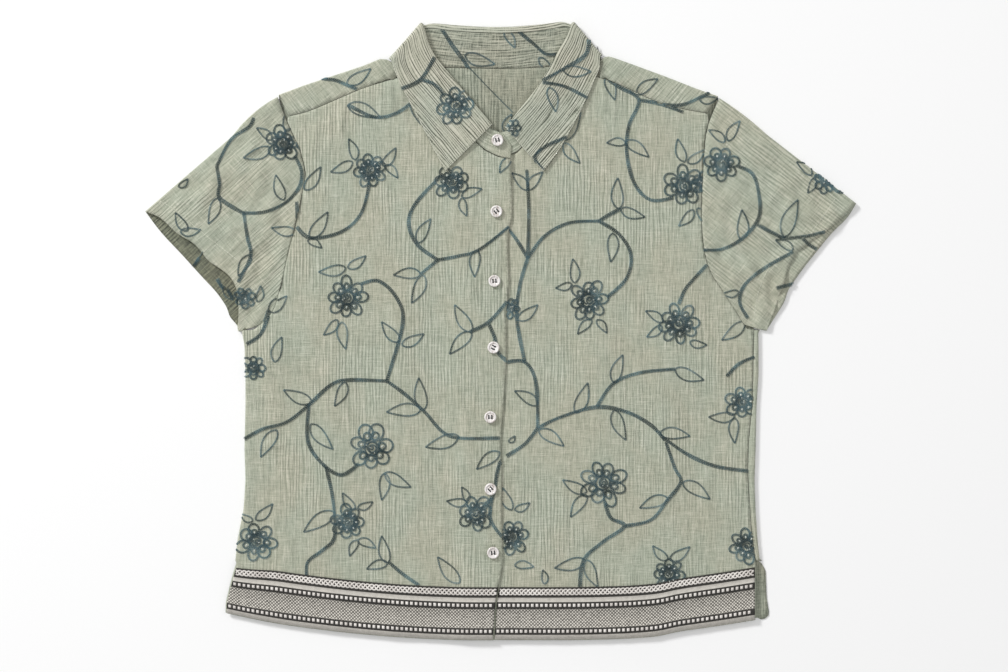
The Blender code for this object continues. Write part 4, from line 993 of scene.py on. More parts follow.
@dataclass(frozen=True)
class Sleeve:
    """A sleeve: a laid tube from the armhole to its open cuff, rolled at both edges."""

    piece: Piece
    side: Side
    axis: float  # degrees that its grain leans from +Y
    sections: int = 34
    columns: int = 46
    turn_points: int = 5  # points in a rolled edge
    inset: float = 0.004  # share of its length that it starts inside the armhole
    cuff_lift: float = 2.6
    cuff_wave: float = 0.9
    wave_length: float = 13.0
    hem_lift: float = 0.0
    cuff_from: float = 0.45  # share of its length where the cuff begins to open
    cuff_ease: float = 30.0  # how far from the rolled edges it is fully open
    bulge: float = 3.6  # how far the shoulder's edge swells beyond a straight line
    bulge_end: float = 0.34  # share of its length where that ends
    sag: float = 5.0  # how far the underarm's edge hangs below one
    swelling: int = 9  # points that an edge takes with it
    rumple: float = 2.0
    rumple_cells: Place = (10, 14)  # across, along
    elsewhere: float = 500.0  # offset that keeps its crinkle apart from the body's

    def half(self, below: bool) -> tuple[list[Place], list[Place]]:
        """The armhole's and the cuff's points on one layer."""
        right, left = (LEFT_CUFF, LEFT_CUFF_BELOW), (RIGHT_CUFF, RIGHT_CUFF_BELOW)
        tables = right if self.side is Side.RIGHT else left
        near = [*armhole(self.side, below, self.columns)[:-1], UNDERARM_POINT[self.side]]
        return near, evenly(smooth_curve(tables[below], 6), self.columns)

    def swell(self, line: list[Place], near: Sequence[Place], far: Sequence[Place], share: float) -> None:
        """Moves a section's ends outwards, and the points beside them with them.

        Args:
            line: The section's points, from the shoulder to the underarm.
            near: The armhole's points.
            far: The cuff's points.
            share: How far along the sleeve the section is.
        """
        shoulder = self.bulge * sin(pi * min(share / self.bulge_end, 1)) ** 0.8
        underarm = self.sag * sin(pi * share) ** 0.7
        for end, away, up in ((0, shoulder, 1), (-1, underarm, -1)):
            along = Vector((far[end][0] - near[end][0], far[end][1] - near[end][1])).normalized()
            out = Vector((-along.y, along.x))
            out = out if out.y * up > 0 else -out
            for k in range(self.swelling):
                index = k if end == 0 else -1 - k
                fade = (1 - k / self.swelling) ** 2
                x, y = line[index]
                line[index] = (x + out.x * away * fade, y + out.y * away * fade)

    def section(self, near: Sequence[Place], far: Sequence[Place], share: float, up: int) -> np.ndarray:
        """Lays one layer's points across the sleeve.

        Args:
            near: The armhole's points.
            far: The cuff's points.
            share: How far along the sleeve they are.
            up: 1 on the face, -1 underneath.

        Returns:
            The points, more of them where the edges roll.
        """
        line = [blend(a, b, self.inset + (1 - self.inset) * share) for a, b in zip(near, far)]
        self.swell(line, near, far, share)
        radius = (UPPER - LOWER) / 2
        fine = evenly(line, 400)
        total = sum(hypot(q[0] - p[0], q[1] - p[1]) for p, q in zip(fine, fine[1:]))
        lengths = np.linspace(0, total, len(fine))
        turn = [radius * (1 - cos(pi / 2 * k / self.turn_points)) for k in range(self.turn_points)]
        flat = between(radius, total - radius, self.columns)
        places = [*turn, *flat, *(total - t for t in reversed(turn))]
        xs, ys = (np.interp(places, lengths, [p[axis] for p in fine]) for axis in (0, 1))
        edge = np.minimum(places, total - np.asarray(places))
        opening = step(self.cuff_from, 1, share) * step(0, self.cuff_ease, edge)
        wave = self.cuff_wave * LAY.crinkle(edge, np.full_like(edge, 7), self.wave_length, 50)
        rumple = LAY.crinkle(xs + self.elsewhere, ys + self.elsewhere, *self.rumple_cells)
        top = LAY.upper(xs, ys) + opening * (self.cuff_lift + wave)
        top = top + LAY.fine(xs, ys) * step(1, 8, edge)
        top = top + self.rumple * rumple * step(2, 12, edge)
        low = LAY.lower(xs, ys) + opening * self.hem_lift
        reach = (LAY.upper(xs, ys) - low) / 2
        rolled = np.sqrt(1 - (1 - np.minimum(edge / reach, 1)) ** 2)
        return np.stack([xs, ys, (top + low) / 2 + up * (top - low) / 2 * rolled], axis=1)

    def shell(self) -> Shell:
        """The whole tube, as rings of points round it."""
        layers = [self.half(False), self.half(True)]
        rings = []
        for share in between(0, 1, self.sections):
            upper, lower = (self.section(*layer, share, up) for layer, up in zip(layers, (1, -1)))
            rings.append(np.concatenate([upper, lower[-2:0:-1]]))
        points = np.concatenate(rings)
        faces = grid_faces(self.sections, len(rings[0]), closed=True, flip=self.side is Side.RIGHT)
        lean = radians(self.axis)
        x, y = points[:, 0], points[:, 1]
        grain = np.stack([x * cos(lean) + y * sin(lean), y * cos(lean) - x * sin(lean)], axis=1)
        return Shell(self.piece, points, faces, grain, "sleeve_cloth")


@dataclass(frozen=True)
class Collar:
    """The collar's fall, with its two leaves, and its stand."""

    roll: float = 1.25  # radius of the fold between the stand and the fall
    roll_to_stand: float = 3.4
    crown_face: float = 7.2  # the fold's height where the collar rolls, on the face
    crown_behind: float = 4.2
    free_face: float = 7.6  # least height of the free edge there
    air: float = 0.25  # air under the leaves
    floor_gap: float = 0.1
    fall_rows: Row = (0.1, 0.3, 0.5, 0.7, 0.86, 1)  # shares of the fall's width
    stand_rows: Row = (0, 0.2, 0.45, 0.72, 1)  # shares of the stand's height
    fold_turns: Row = (0, 38, 90, 142, 180)  # degrees round a side fold

    def stations(self) -> list[tuple]:
        """Every table row, those between two, and those round a side fold."""
        stations = []
        for i, row in enumerate(COLLAR):
            if row[0] == 0:
                order = self.fold_turns if COLLAR[i - 1][0] == 1 else self.fold_turns[::-1]
                stations += [(turn, *row[1:7], None) for turn in order]
                continue
            turn = 0 if row[0] == 1 else 180
            stations.append((turn, *row[1:]))
            if i + 1 < len(COLLAR) and COLLAR[i + 1][0] == row[0]:
                span = COLLAR[max(i - 1, 0):i + 3]
                stations.append((turn, *smooth_curve([r[1:] for r in span], 2)[2 * min(i, 1) + 1]))
        return stations

    def leaf_height(self, spot: Vector, crown: float, share: float, side: Side) -> float:
        """Height of the fall where it lies on the face.

        Args:
            spot: The place.
            crown: The fold's height there.
            share: How far it is from the fold to the free edge.
            side: The wearer's side.

        Returns:
            The height, clear of the cloth underneath.
        """
        under = LAY.lap if side is Side.RIGHT or spot.x < LAP_EDGE else LAY.upper
        low = float(under(spot.x, spot.y)) + CLOTH / 2 + SEAM + COLLAR_CLOTH / 2 + self.air
        high = crown + self.roll * 2
        return max(low, high + (low - high) * float(step(0, 0.8, share)))

    def lying(self, station: tuple) -> tuple[list[Row], Row, Row]:
        """A section where the collar lies on the face or behind the back.

        Args:
            station: A row of the collar table, with its turn in degrees first.

        Returns:
            The fall's points, the stand's upper edge and its seam.
        """
        turn, fold_x, fold_y, free_x, free_y, seam_x, seam_y, crown = station
        side = Side.RIGHT if fold_x < 0 else Side.LEFT
        up = 1 if turn < 90 else -1
        fold, free = Vector((fold_x, fold_y)), Vector((free_x, free_y))
        away = (free - fold).normalized()
        roll = self.roll if up > 0 else (crown - COLLAR_CLOTH / 2 - self.floor_gap) / 2
        centre = fold + away * (roll + COLLAR_CLOTH / 2)
        start = centre + away * self.roll_to_stand
        line = [(start.x, start.y, crown)]
        for a in between(-pi / 2, pi / 2, 5):
            spot = centre - away * roll * cos(a)
            line.append((spot.x, spot.y, crown + up * roll * (1 + sin(a))))
        fall_z = crown + up * roll * 2
        for share in self.fall_rows:
            spot = centre + (free - centre) * share
            if up > 0:
                height = self.leaf_height(spot, crown, share, side)
            else:
                height = fall_z + (COLLAR_CLOTH / 2 - fall_z) * float(step(0, 0.3, share))
            line.append((spot.x, spot.y, height))
        top = start + away * SEAM
        under = LAY.lower if up < 0 else LAY.lap if side is Side.RIGHT else LAY.upper
        return line, (top.x, top.y, crown), (seam_x, seam_y, float(under(seam_x, seam_y)))

    def rolling(self, station: tuple) -> tuple[list[Row], Row, Row]:
        """A section where the collar rolls from the face to behind the back; see lying."""
        turn, fold_x, fold_y, free_x, free_y, seam_x, seam_y, _ = station
        side = Side.RIGHT if fold_x < 0 else Side.LEFT
        fold, free = Vector((fold_x, fold_y)), Vector((free_x, free_y))
        away = (free - fold).normalized()
        out = Vector((-away.y, away.x))
        out = out if out.x * side.value > 0 else -out
        angle = radians(turn)
        middle = (self.crown_face + self.crown_behind) / 2
        stand_radius = (self.crown_face - self.crown_behind) / 2
        lowest = COLLAR_CLOTH / 2 + self.floor_gap
        tight = stand_radius + 2 * self.roll
        fall_radius = tight + (middle - lowest - tight) * turn / 180
        inner = fold - out * (fall_radius + COLLAR_CLOTH / 2)
        mean, roll = (stand_radius + fall_radius) / 2, (fall_radius - stand_radius) / 2
        centre = inner + away * (self.roll + COLLAR_CLOTH / 2)

        def placed(spot: Vector, spot_middle: float, radius: float) -> Row:
            """A point on its way round the side fold."""
            moved = spot + out * radius * sin(angle)
            return moved.x, moved.y, spot_middle + radius * cos(angle)

        start = centre + away * self.roll_to_stand
        line = [placed(start, middle, stand_radius)]
        for a in between(-pi / 2, pi / 2, 5):
            line.append(placed(centre - away * self.roll * cos(a), middle, mean + roll * sin(a)))
        for share in self.fall_rows:
            face = self.leaf_height(centre + (free - centre) * share, self.crown_face, share, side)
            face = max(face, self.free_face)
            behind = lowest
            if turn >= 90:
                behind = middle - fall_radius
                behind += (COLLAR_CLOTH / 2 - behind) * float(step(0, 0.3, share))
            radius = (face - behind) / 2
            spot = centre + (free - out * (radius + COLLAR_CLOTH / 2) - centre) * share
            line.append(placed(spot, (face + behind) / 2, radius))
        top = start + away * SEAM
        face, behind = float(LAY.upper(seam_x, seam_y)), float(LAY.lower(seam_x, seam_y))
        radius = (face - behind) / 2
        seam = Vector((seam_x, seam_y)) - out * radius
        return line, placed(top, middle, stand_radius), placed(seam, (face + behind) / 2, radius)

    def stand_end(self, side: Side) -> list[list[Row]]:
        """The stand's sections beyond the fall, at a front edge."""
        height = LAY.lap if side is Side.RIGHT else LAY.upper
        sections = []
        for top_x, top_y, seam_x, seam_y in STAND_ENDS[side]:
            top = (top_x, top_y, float(height(top_x, top_y)))
            seam = (seam_x, seam_y, float(height(seam_x, seam_y)))
            sections.append([blend(top, seam, share) for share in self.stand_rows])
        return sections

    @staticmethod
    def strip(piece: Piece, sections: Sequence[Sequence[Row]], flip: bool) -> Shell:
        """A strip of cloth, its grain running along it.

        Args:
            piece: Which piece it is.
            sections: Its points across, one row after another.
            flip: Whether its faces look the other way.

        Returns:
            The strip, rounded between its points.
        """
        rows = np.array(sections, float)
        steps = np.linalg.norm(np.diff(rows.mean(axis=1), axis=0), axis=1)
        length = np.concatenate([[0], np.cumsum(steps)])
        steps = np.linalg.norm(np.diff(rows, axis=1), axis=2)
        across = np.concatenate([np.zeros((len(rows), 1)), np.cumsum(steps, axis=1)], axis=1)
        grain = np.stack([across, np.broadcast_to(length[:, None], across.shape)], axis=2).reshape(-1, 2)
        faces = grid_faces(*rows.shape[:2], flip=flip)
        return Shell(piece, rows.reshape(-1, 3), faces, grain, "collar_cloth", COLLAR_SHELL, 2)

    def shells(self) -> list[Shell]:
        """The fall and the stand."""
        built = [
            self.rolling(station) if station[7] is None else self.lying(station)
            for station in self.stations()
        ]
        stands = [[blend(top, seam, share) for share in self.stand_rows] for _, top, seam in built]
        around = [*self.stand_end(Side.RIGHT), *stands, *reversed(self.stand_end(Side.LEFT))]
        return [
            self.strip(Piece.COLLAR, [line for line, _, _ in built], False),
            self.strip(Piece.STAND, around, True),
        ]


class Surfaces:
    """The cloth as it lies, looked at from above."""

    def __init__(self, cloths: dict[Piece, Object]) -> None:
        """Gathers the faces of the laid cloth."""
        points: list[Vector] = []
        faces: list[tuple[int, ...]] = []
        self.owner: list[Piece] = []
        for piece, cloth in cloths.items():
            first = len(points)
            points += [vertex.co.copy() for vertex in cloth.data.vertices]
            faces += [tuple(first + index for index in polygon.vertices) for polygon in cloth.data.polygons]
            self.owner += [piece] * (len(faces) - len(self.owner))
        self.tree = BVHTree.FromPolygons(points, faces)

    def under(self, x: float, y: float) -> tuple[Piece, Vector, Vector] | None:
        """The cloth seen at a place from above.

        Args:
            x: Across, in millimetres.
            y: Up, in millimetres.

        Returns:
            Its piece, the point in millimetres and the normal, or None beside the shirt.
        """
        above = Vector((x * MM, y * MM, 0.1))
        hit, normal, index, _ = self.tree.ray_cast(above, Vector((0, 0, -1)))
        if hit is None:
            return None
        if normal.z < 0:
            normal = -normal
        return self.owner[index], hit / MM, normal


@dataclass
class Stamp:
    """A small shape that is set many times on the cloth, all of it one mesh."""

    points: np.ndarray
    faces: Sequence[Sequence[int]]
    frames: list[tuple[Vector, Vector, Vector]] = field(default_factory=list)
    sizes: list[Row] = field(default_factory=list)

    def set(self, surfaces: Surfaces, piece: Piece, x: float, y: float, angle: float, size: Row,
            lift: float = 0.0) -> bool:
        """Sets one on a piece, if the piece is the one that shows there.

        Args:
            surfaces: The laid cloth.
            piece: The piece that it is sewn on.
            x: Across, in millimetres.
            y: Up, in millimetres.
            angle: The way that it points, in radians from +X.
            size: Length, width and height.
            lift: Height over the cloth.

        Returns:
            Whether it was set.
        """
        found = surfaces.under(x, y)
        if found is None or found[0] is not piece:
            return False
        _, spot, normal = found
        along = Vector((cos(angle), sin(angle), 0))
        along = (along - normal * along.dot(normal)).normalized()
        self.frames.append((spot + normal * lift, along, normal))
        self.sizes.append(size)
        return True

    def row(self, surfaces: Surfaces, piece: Piece, line: Sequence[Place], pitch: float, size: Row,
            lift: float) -> None:
        """Sets one for each pitch of a line, turned along it; the rest is as for set."""
        points = spaced(line, pitch)
        for (x1, y1), (x2, y2) in zip(points, points[1:]):
            angle = float(np.arctan2(y2 - y1, x2 - x1))
            self.set(surfaces, piece, (x1 + x2) / 2, (y1 + y2) / 2, angle, size, lift)

    def build(self, name: str, material: Material) -> Object | None:
        """Makes one object of all that were set.

        Args:
            name: The object's name.
            material: What it is made of.

        Returns:
            The object, or None if none was set.
        """
        if not self.frames:
            return None
        spot = np.array([frame[0] for frame in self.frames])
        along = np.array([frame[1] for frame in self.frames])
        normal = np.array([frame[2] for frame in self.frames])
        across = np.cross(normal, along)
        basis = np.stack([along, across, normal], axis=1)
        local = self.points[None, :, :] * np.array(self.sizes)[:, None, :]
        points = (local @ basis + spot[:, None, :]).reshape(-1, 3)
        count = len(self.points)
        faces = [
            tuple(index + count * number for index in face)
            for number in range(len(self.frames)) for face in self.faces
        ]
        piece = make_object(name, make_mesh(name, points, faces), material)
        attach(piece, "root")
        LOG.info("%s: %d", name, len(self.frames))
        return piece


def loop_stamp() -> Stamp:
    """A loop of thread, as one chain stitch: pointed behind, round in front."""
    ring = ((-0.5, 0), (-0.15, 0.40), (0.28, 0.40), (0.5, 0), (0.28, -0.40), (-0.15, -0.40))
    points, faces = [], []
    for x, y in ring:
        length = hypot(x, y)
        out = (x / length, y / length)
        for reach, height in ((0.16, 0), (0, 1), (-0.16, 0)):
            points.append((x + out[0] * reach * 0.5, y + out[1] * reach, height))
    for k in range(len(ring)):
        a, b = 3 * k, 3 * ((k + 1) % len(ring))
        faces += [(b, b + 1, a + 1, a), (b + 1, b + 2, a + 2, a + 1)]
    return Stamp(np.array(points), faces)


def dash_stamp() -> Stamp:
    """A straight stitch that sinks into the cloth at both ends."""
    rim = ((-0.5, 0), (-0.36, -0.42), (0.36, -0.42), (0.5, 0), (0.36, 0.42), (-0.36, 0.42))
    points = [(x, y, -0.2) for x, y in rim] + [(-0.3, 0, 1), (0.3, 0, 1)]
    faces = [(0, 1, 6), (1, 2, 7, 6), (2, 3, 7), (3, 4, 7), (4, 5, 6, 7), (5, 0, 6)]
    return Stamp(np.array(points), faces)


def beside(line: Sequence[Place], away: np.ndarray | float) -> list[Place]:
    """A line at a distance to the left of another."""
    points = np.asarray(line, float)
    along = np.gradient(points, axis=0)
    along /= np.maximum(np.linalg.norm(along, axis=1, keepdims=True), 1e-9)
    return [tuple(p) for p in points + away * np.stack([-along[:, 1], along[:, 0]], axis=1)]


def ring(x: float, y: float, reach: float, width: float, turn: float, count: int = 20) -> list[Place]:
    """A closed ellipse.

    Args:
        x: Its middle, across.
        y: Its middle, up.
        reach: Its first half-axis.
        width: Its second half-axis.
        turn: How far the first is turned from +X, in radians.
        count: How many steps go round it.

    Returns:
        Its points, the first one again at the end.
    """
    points = []
    for k in range(count + 1):
        a, b = reach * cos(2 * pi * k / count), width * sin(2 * pi * k / count)
        points.append((x + a * cos(turn) - b * sin(turn), y + a * sin(turn) + b * cos(turn)))
    return points


@dataclass
class Embroidery:
    """Chain-stitched vines, leaves and flowers on one piece of cloth."""

    piece: Piece
    surfaces: Surfaces
    lift: float = 0.04
    stem_pitch: float = 2.0
    stem_link: Row = (2.8, 1.75, 0.8)  # length, width and height, as of every link
    stem_rows: Row = (-0.8, 0.8)  # how far the rows lie from the stem's middle
    stem_spread: float = 0.4  # share by which that changes along it
    spread_cell: float = 17.0
    elsewhere: float = 300.0  # offset that keeps this apart from the cloth's crinkles
    thin_pitch: float = 1.6
    thin_link: Row = (2.2, 1, 0.5)
    fine_pitch: float = 1.7
    fine_link: Row = (2.5, 1.95, 0.85)
    leaf_link: Row = (2.4, 1.55, 0.65)
    leaf_width: float = 0.17  # share of its length, and the least half width
    leaf_least: float = 1.2
    leaf_bend: float = 1.2
    filling_pitch: float = 1.25
    filling_link: Row = (1.9, 1.5, 1)
    full_size: float = 14.0  # from this size on, a petal has a loop and a knot inside
    small_size: float = 9.0  # below it, a flower has two petals less
    petal_loops: tuple[Row, ...] = ((0.66, 0.34, 1), (0.5, 0.16, 0.5))  # middle, half length, width
    knot: Row = (2.3, 1.7, 1.6)
    small_knot: Row = (1.7, 1.1, 1.4)
    knot_lift: float = 0.5
    links: Stamp = field(default_factory=loop_stamp)
    faded: Stamp = field(default_factory=loop_stamp)
    knots: Stamp = field(default_factory=dash_stamp)

    def chain(self, line: Sequence[Place], pitch: float, link: Row, stamp: Stamp | None = None) -> None:
        """Sets links along a line."""
        (stamp or self.links).row(self.surfaces, self.piece, line, pitch, link, self.lift)

    def stem(self, places: Sequence[Place]) -> None:
        """Rows of links side by side through a vine's places, closer together here and there."""
        line = np.array(spaced(smooth_curve(places, 10), 1.5))
        moved = (line + self.elsewhere).T
        spread = 1 + self.stem_spread * LAY.crinkle(*moved, self.spread_cell, self.spread_cell)
        for away in self.stem_rows:
            self.chain(beside(line, away * spread[:, None]), self.stem_pitch, self.stem_link)

    def leaf(self, base_x: float, base_y: float, tip_x: float, tip_y: float, bend: float) -> None:
        """Sews a pointed leaf's outline.

        Args:
            base_x: Where it begins, across.
            base_y: Where it begins, up.
            tip_x: Its tip, across.
            tip_y: Its tip, up.
            bend: How far it bends to one side.
        """
        length = hypot(tip_x - base_x, tip_y - base_y)
        angle = float(np.arctan2(tip_y - base_y, tip_x - base_x))
        width = self.leaf_width * length + self.leaf_least
        for side in (-1, 1):
            line = []
            for share in between(0, 1, 14):
                out = side * width * sin(pi * share**0.8) ** 0.85 * (1 - 0.25 * share)
                out += bend * sin(pi * share)
                x = base_x + length * share * cos(angle) - out * sin(angle)
                y = base_y + length * share * sin(angle) + out * cos(angle)
                line.append((x, y))
            stamp = self.links if (side > 0) == (int(base_x + tip_y) % 3 == 0) else self.faded
            self.chain(line, self.fine_pitch, self.leaf_link, stamp)

    def flower(self, x: float, y: float, size: float, turn: float, filling: float) -> None:
        """Sews a flower of uneven petals round a filled middle.

        Args:
            x: Its middle, across.
            y: Its middle, up.
            size: Its radius.
            turn: The first petal's direction, in degrees from +X.
            filling: How far the filling reaches, from nothing at -1 to most of it at 1.
        """
        chance = np.random.default_rng(round(abs(7 * x + 3 * y)))
        petals = int(chance.integers(7, 9)) - 2 * (size < self.small_size)
        full = size > self.full_size
        for k in range(petals):
            angle = radians(turn) + 2 * pi * k / petals + chance.uniform(-0.16, 0.16)
            reach, width = size * chance.uniform(0.86, 1.1), size * chance.uniform(1.75, 2.25) / petals
            stamp = self.links if k % 2 == 0 else self.faded
            for middle, long, wide in self.petal_loops[:1 + full]:
                centre = (x + reach * middle * cos(angle), y + reach * middle * sin(angle))
                petal = ring(*centre, reach * long, width * wide, angle)
                self.chain(petal, self.fine_pitch, self.fine_link, stamp)
            # The pale knot at a petal's inner end is a painted highlight: the glint on a dark knot.
            if full:
                spot = (x + reach * 0.5 * cos(angle), y + reach * 0.5 * sin(angle))
                self.knots.set(self.surfaces, self.piece, *spot, angle, self.knot, self.knot_lift)
        for share in np.arange(0.08, 0.3 + 0.3 * filling, max(0.08, 1.6 / size)):
            centre = (x + chance.uniform(-0.04, 0.04) * size, y + chance.uniform(-0.04, 0.04) * size)
            reach, width = size * share * chance.uniform(0.9, 1.2), size * share
            loop = ring(*centre, reach, width, chance.uniform(0, pi))
            self.chain(loop, self.filling_pitch, self.filling_link, self.faded)
        for _ in range(3):
            angle, away = chance.uniform(0, 2 * pi), chance.uniform(0.05, 0.3) * size
            spot = (x + away * cos(angle), y + away * sin(angle))
            self.knots.set(self.surfaces, self.piece, *spot, angle, self.small_knot, self.knot_lift)

    def build(self, thread: Material, faded: Material, pale: Material) -> None:
        """Sews everything that the tables hold for the piece.

        Args:
            thread: The darker strands.
            faded: The paler ones.
            pale: The knots' thread; the knots at the petals are painted highlights.
        """
        for places in VINES.get(self.piece, ()):
            self.stem(places)
        for places in THIN_VINES.get(self.piece, ()):
            self.chain(smooth_curve(places, 10), self.thin_pitch, self.thin_link)
        for number, row in enumerate(LEAVES.get(self.piece, ())):
            self.leaf(*row, bend=self.leaf_bend if number % 2 else -self.leaf_bend)
        for row in FLOWERS.get(self.piece, ()):
            self.flower(*row)
        name = self.piece.value
        self.links.build(f"embroidery_{name}", thread)
        self.faded.build(f"embroidery_paler_{name}", faded)
        self.knots.build(f"embroidery_knots_{name}", pale)


@dataclass
class Stitching:
    """Rows of stitches along edges, seams and cuffs, and the buttonholes."""

    surfaces: Surfaces
    pitch: float = 3.1
    stitch: Row = (2.2, 0.55, 0.3)  # length, width and height, as of the next three
    hem_stitch: Row = (3, 0.75, 0.5)
    bar: Row = (1.7, 0.66, 0.45)
    slit: Row = (14.19, 0.5, 0.1)
    bar_pitch: float = 0.62
    hole_length: float = 16.5
    lift: float = 0.02
    edge_rows: Row = (0.9, 3.2)  # how far the rows lie inside the collar's free edge
    end_rows: Row = (1.2, 3.2)  # and inside the stand's end
    stitches: Stamp = field(default_factory=dash_stamp)
    hems: Stamp = field(default_factory=dash_stamp)
    bars: Stamp = field(default_factory=dash_stamp)
    slits: Stamp = field(default_factory=dash_stamp)

    def row(self, piece: Piece, line: Sequence[Place], hem: bool = False) -> None:
        """A row of stitches along a line, paler and fuller on a hem, where it also paints the folded edge's
        highlight.
        """
        stamp, stitch = (self.hems, self.hem_stitch) if hem else (self.stitches, self.stitch)
        stamp.row(self.surfaces, piece, line, self.pitch, stitch, self.lift)

    def buttonhole(self, piece: Piece, x: float, y: float, turn: float) -> None:
        """Sews bars on both sides of a slit and paints the slit's shade as a dark dash.

        Args:
            piece: The piece that it is cut in.
            x: Its middle, across.
            y: Its middle, up.
            turn: Its direction, in radians from +X.
        """
        along = (cos(turn), sin(turn))
        for place in np.arange(-self.hole_length / 2, self.hole_length / 2 + 0.01, self.bar_pitch):
            for side in (-1, 1):
                spot = (x + along[0] * place - along[1] * side, y + along[1] * place + along[0] * side)
                self.bars.set(self.surfaces, piece, *spot, turn + pi / 2, self.bar)
        # The slit is a near-black dash: painted shade in the cut.
        self.slits.set(self.surfaces, piece, x, y, turn, self.slit, self.lift)

    def collar_edges(self) -> None:
        """The rows inside the collar's free edge, at the stand's end and along its seam."""
        for first, last in ((0, 7), (12, 19)):
            for inset in self.edge_rows:
                line = []
                for _, fold_x, fold_y, free_x, free_y, *_ in COLLAR[first:last]:
                    inwards = Vector((fold_x - free_x, fold_y - free_y)).normalized() * inset
                    line.append((free_x + inwards.x, free_y + inwards.y))
                # The outer row is in the hems' pale thread, which also paints the highlight on the collar's
                # rolled edge.
                self.row(Piece.COLLAR, smooth_curve(line, 8), inset == self.edge_rows[0])
        for _, fold_x, fold_y, free_x, free_y, *_ in (COLLAR[0], COLLAR[-1]):
            end = Vector((0, 1)) if fold_x > 0 else Vector((-0.6, 0.8))
            ends = ((free_x, free_y), (fold_x, fold_y))
            self.row(Piece.COLLAR, [(a + end.x * 0.9, b + end.y * 0.9) for a, b in ends], True)
        for inset in self.end_rows:
            line = [
                (10 - inset, 172.5 + inset), (10.6 - inset, 180), (8 - inset, 188.5 - inset / 2),
                (2, 196 - inset), (-5, 203.5 - inset),
            ]
            self.row(Piece.STAND, smooth_curve(line, 8))
        seam = [(row[5] * 0.99, row[6] + 2.2) for row in COLLAR[8:12]]
        self.row(Piece.STAND, smooth_curve(seam, 8))

    def build(self, thread: Material, hems: Material, dark: Material) -> None:
        """Sews all of them.

        Args:
            thread: The thread of the seams and buttonholes.
            hems: The hems' thread, which also paints the folded edges' highlight.
            dark: The painted shade in the slits, in the dark thread's colour.
        """
        for piece, lines in STITCHES.items():
            for line in lines:
                self.row(piece, smooth_curve(line, 8), piece in (Piece.SLEEVE_RIGHT, Piece.SLEEVE_LEFT))
        self.collar_edges()
        for number in range(1, len(BUTTON_TURNS) + 1):
            x, y = button_place(number)
            if number == 1:
                self.buttonhole(Piece.STAND, x + 1.5, y, radians(50))
            else:
                self.buttonhole(Piece.FRONT_RIGHT, x, y, pi / 2)
        self.stitches.build("stitches", thread)
        self.hems.build("hem_stitches", hems)
        self.bars.build("buttonhole_bars", thread)
        self.slits.build("buttonhole_slit_shade", dark)


def button_place(number: int) -> Place:
    """The middle of a button, in millimetres."""
    low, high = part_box(f"button_{number}")
    return (low[0] + high[0]) / 2 / MM, (low[1] + high[1]) / 2 / MM


def border_share(x: np.ndarray | float) -> np.ndarray:
    """The border's height at a place along the hem, as a share; it narrows at the vent."""
    start, end, share = BORDER_NARROWS
    return 1 - share * step(-start, -end, -np.asarray(x, float))


def border_ends(side: Side, up: float) -> Place:
    """Finds a border row's ends.

    Args:
        side: The front that it is on.
        up: Its height over the hem.

    Returns:
        X where it begins and where it ends.
    """
    foot, front_foot = BORDER_ENDS[side]
    if side is Side.RIGHT:
        vent = [(y, x) for x, y in (*LEFT_VENT, HEM[0])]
        left = float(at(vent, foot + up * border_share(HEM[0][0]))) + BORDER_LEFT_INSET
        return left, float(at(CENTRE_EDGE, front_foot + up)) - BORDER_INSET
    return float(at(CENTRE_EDGE, foot + up)) + BORDER_UNDER_INSET, BORDER_RIGHT_END


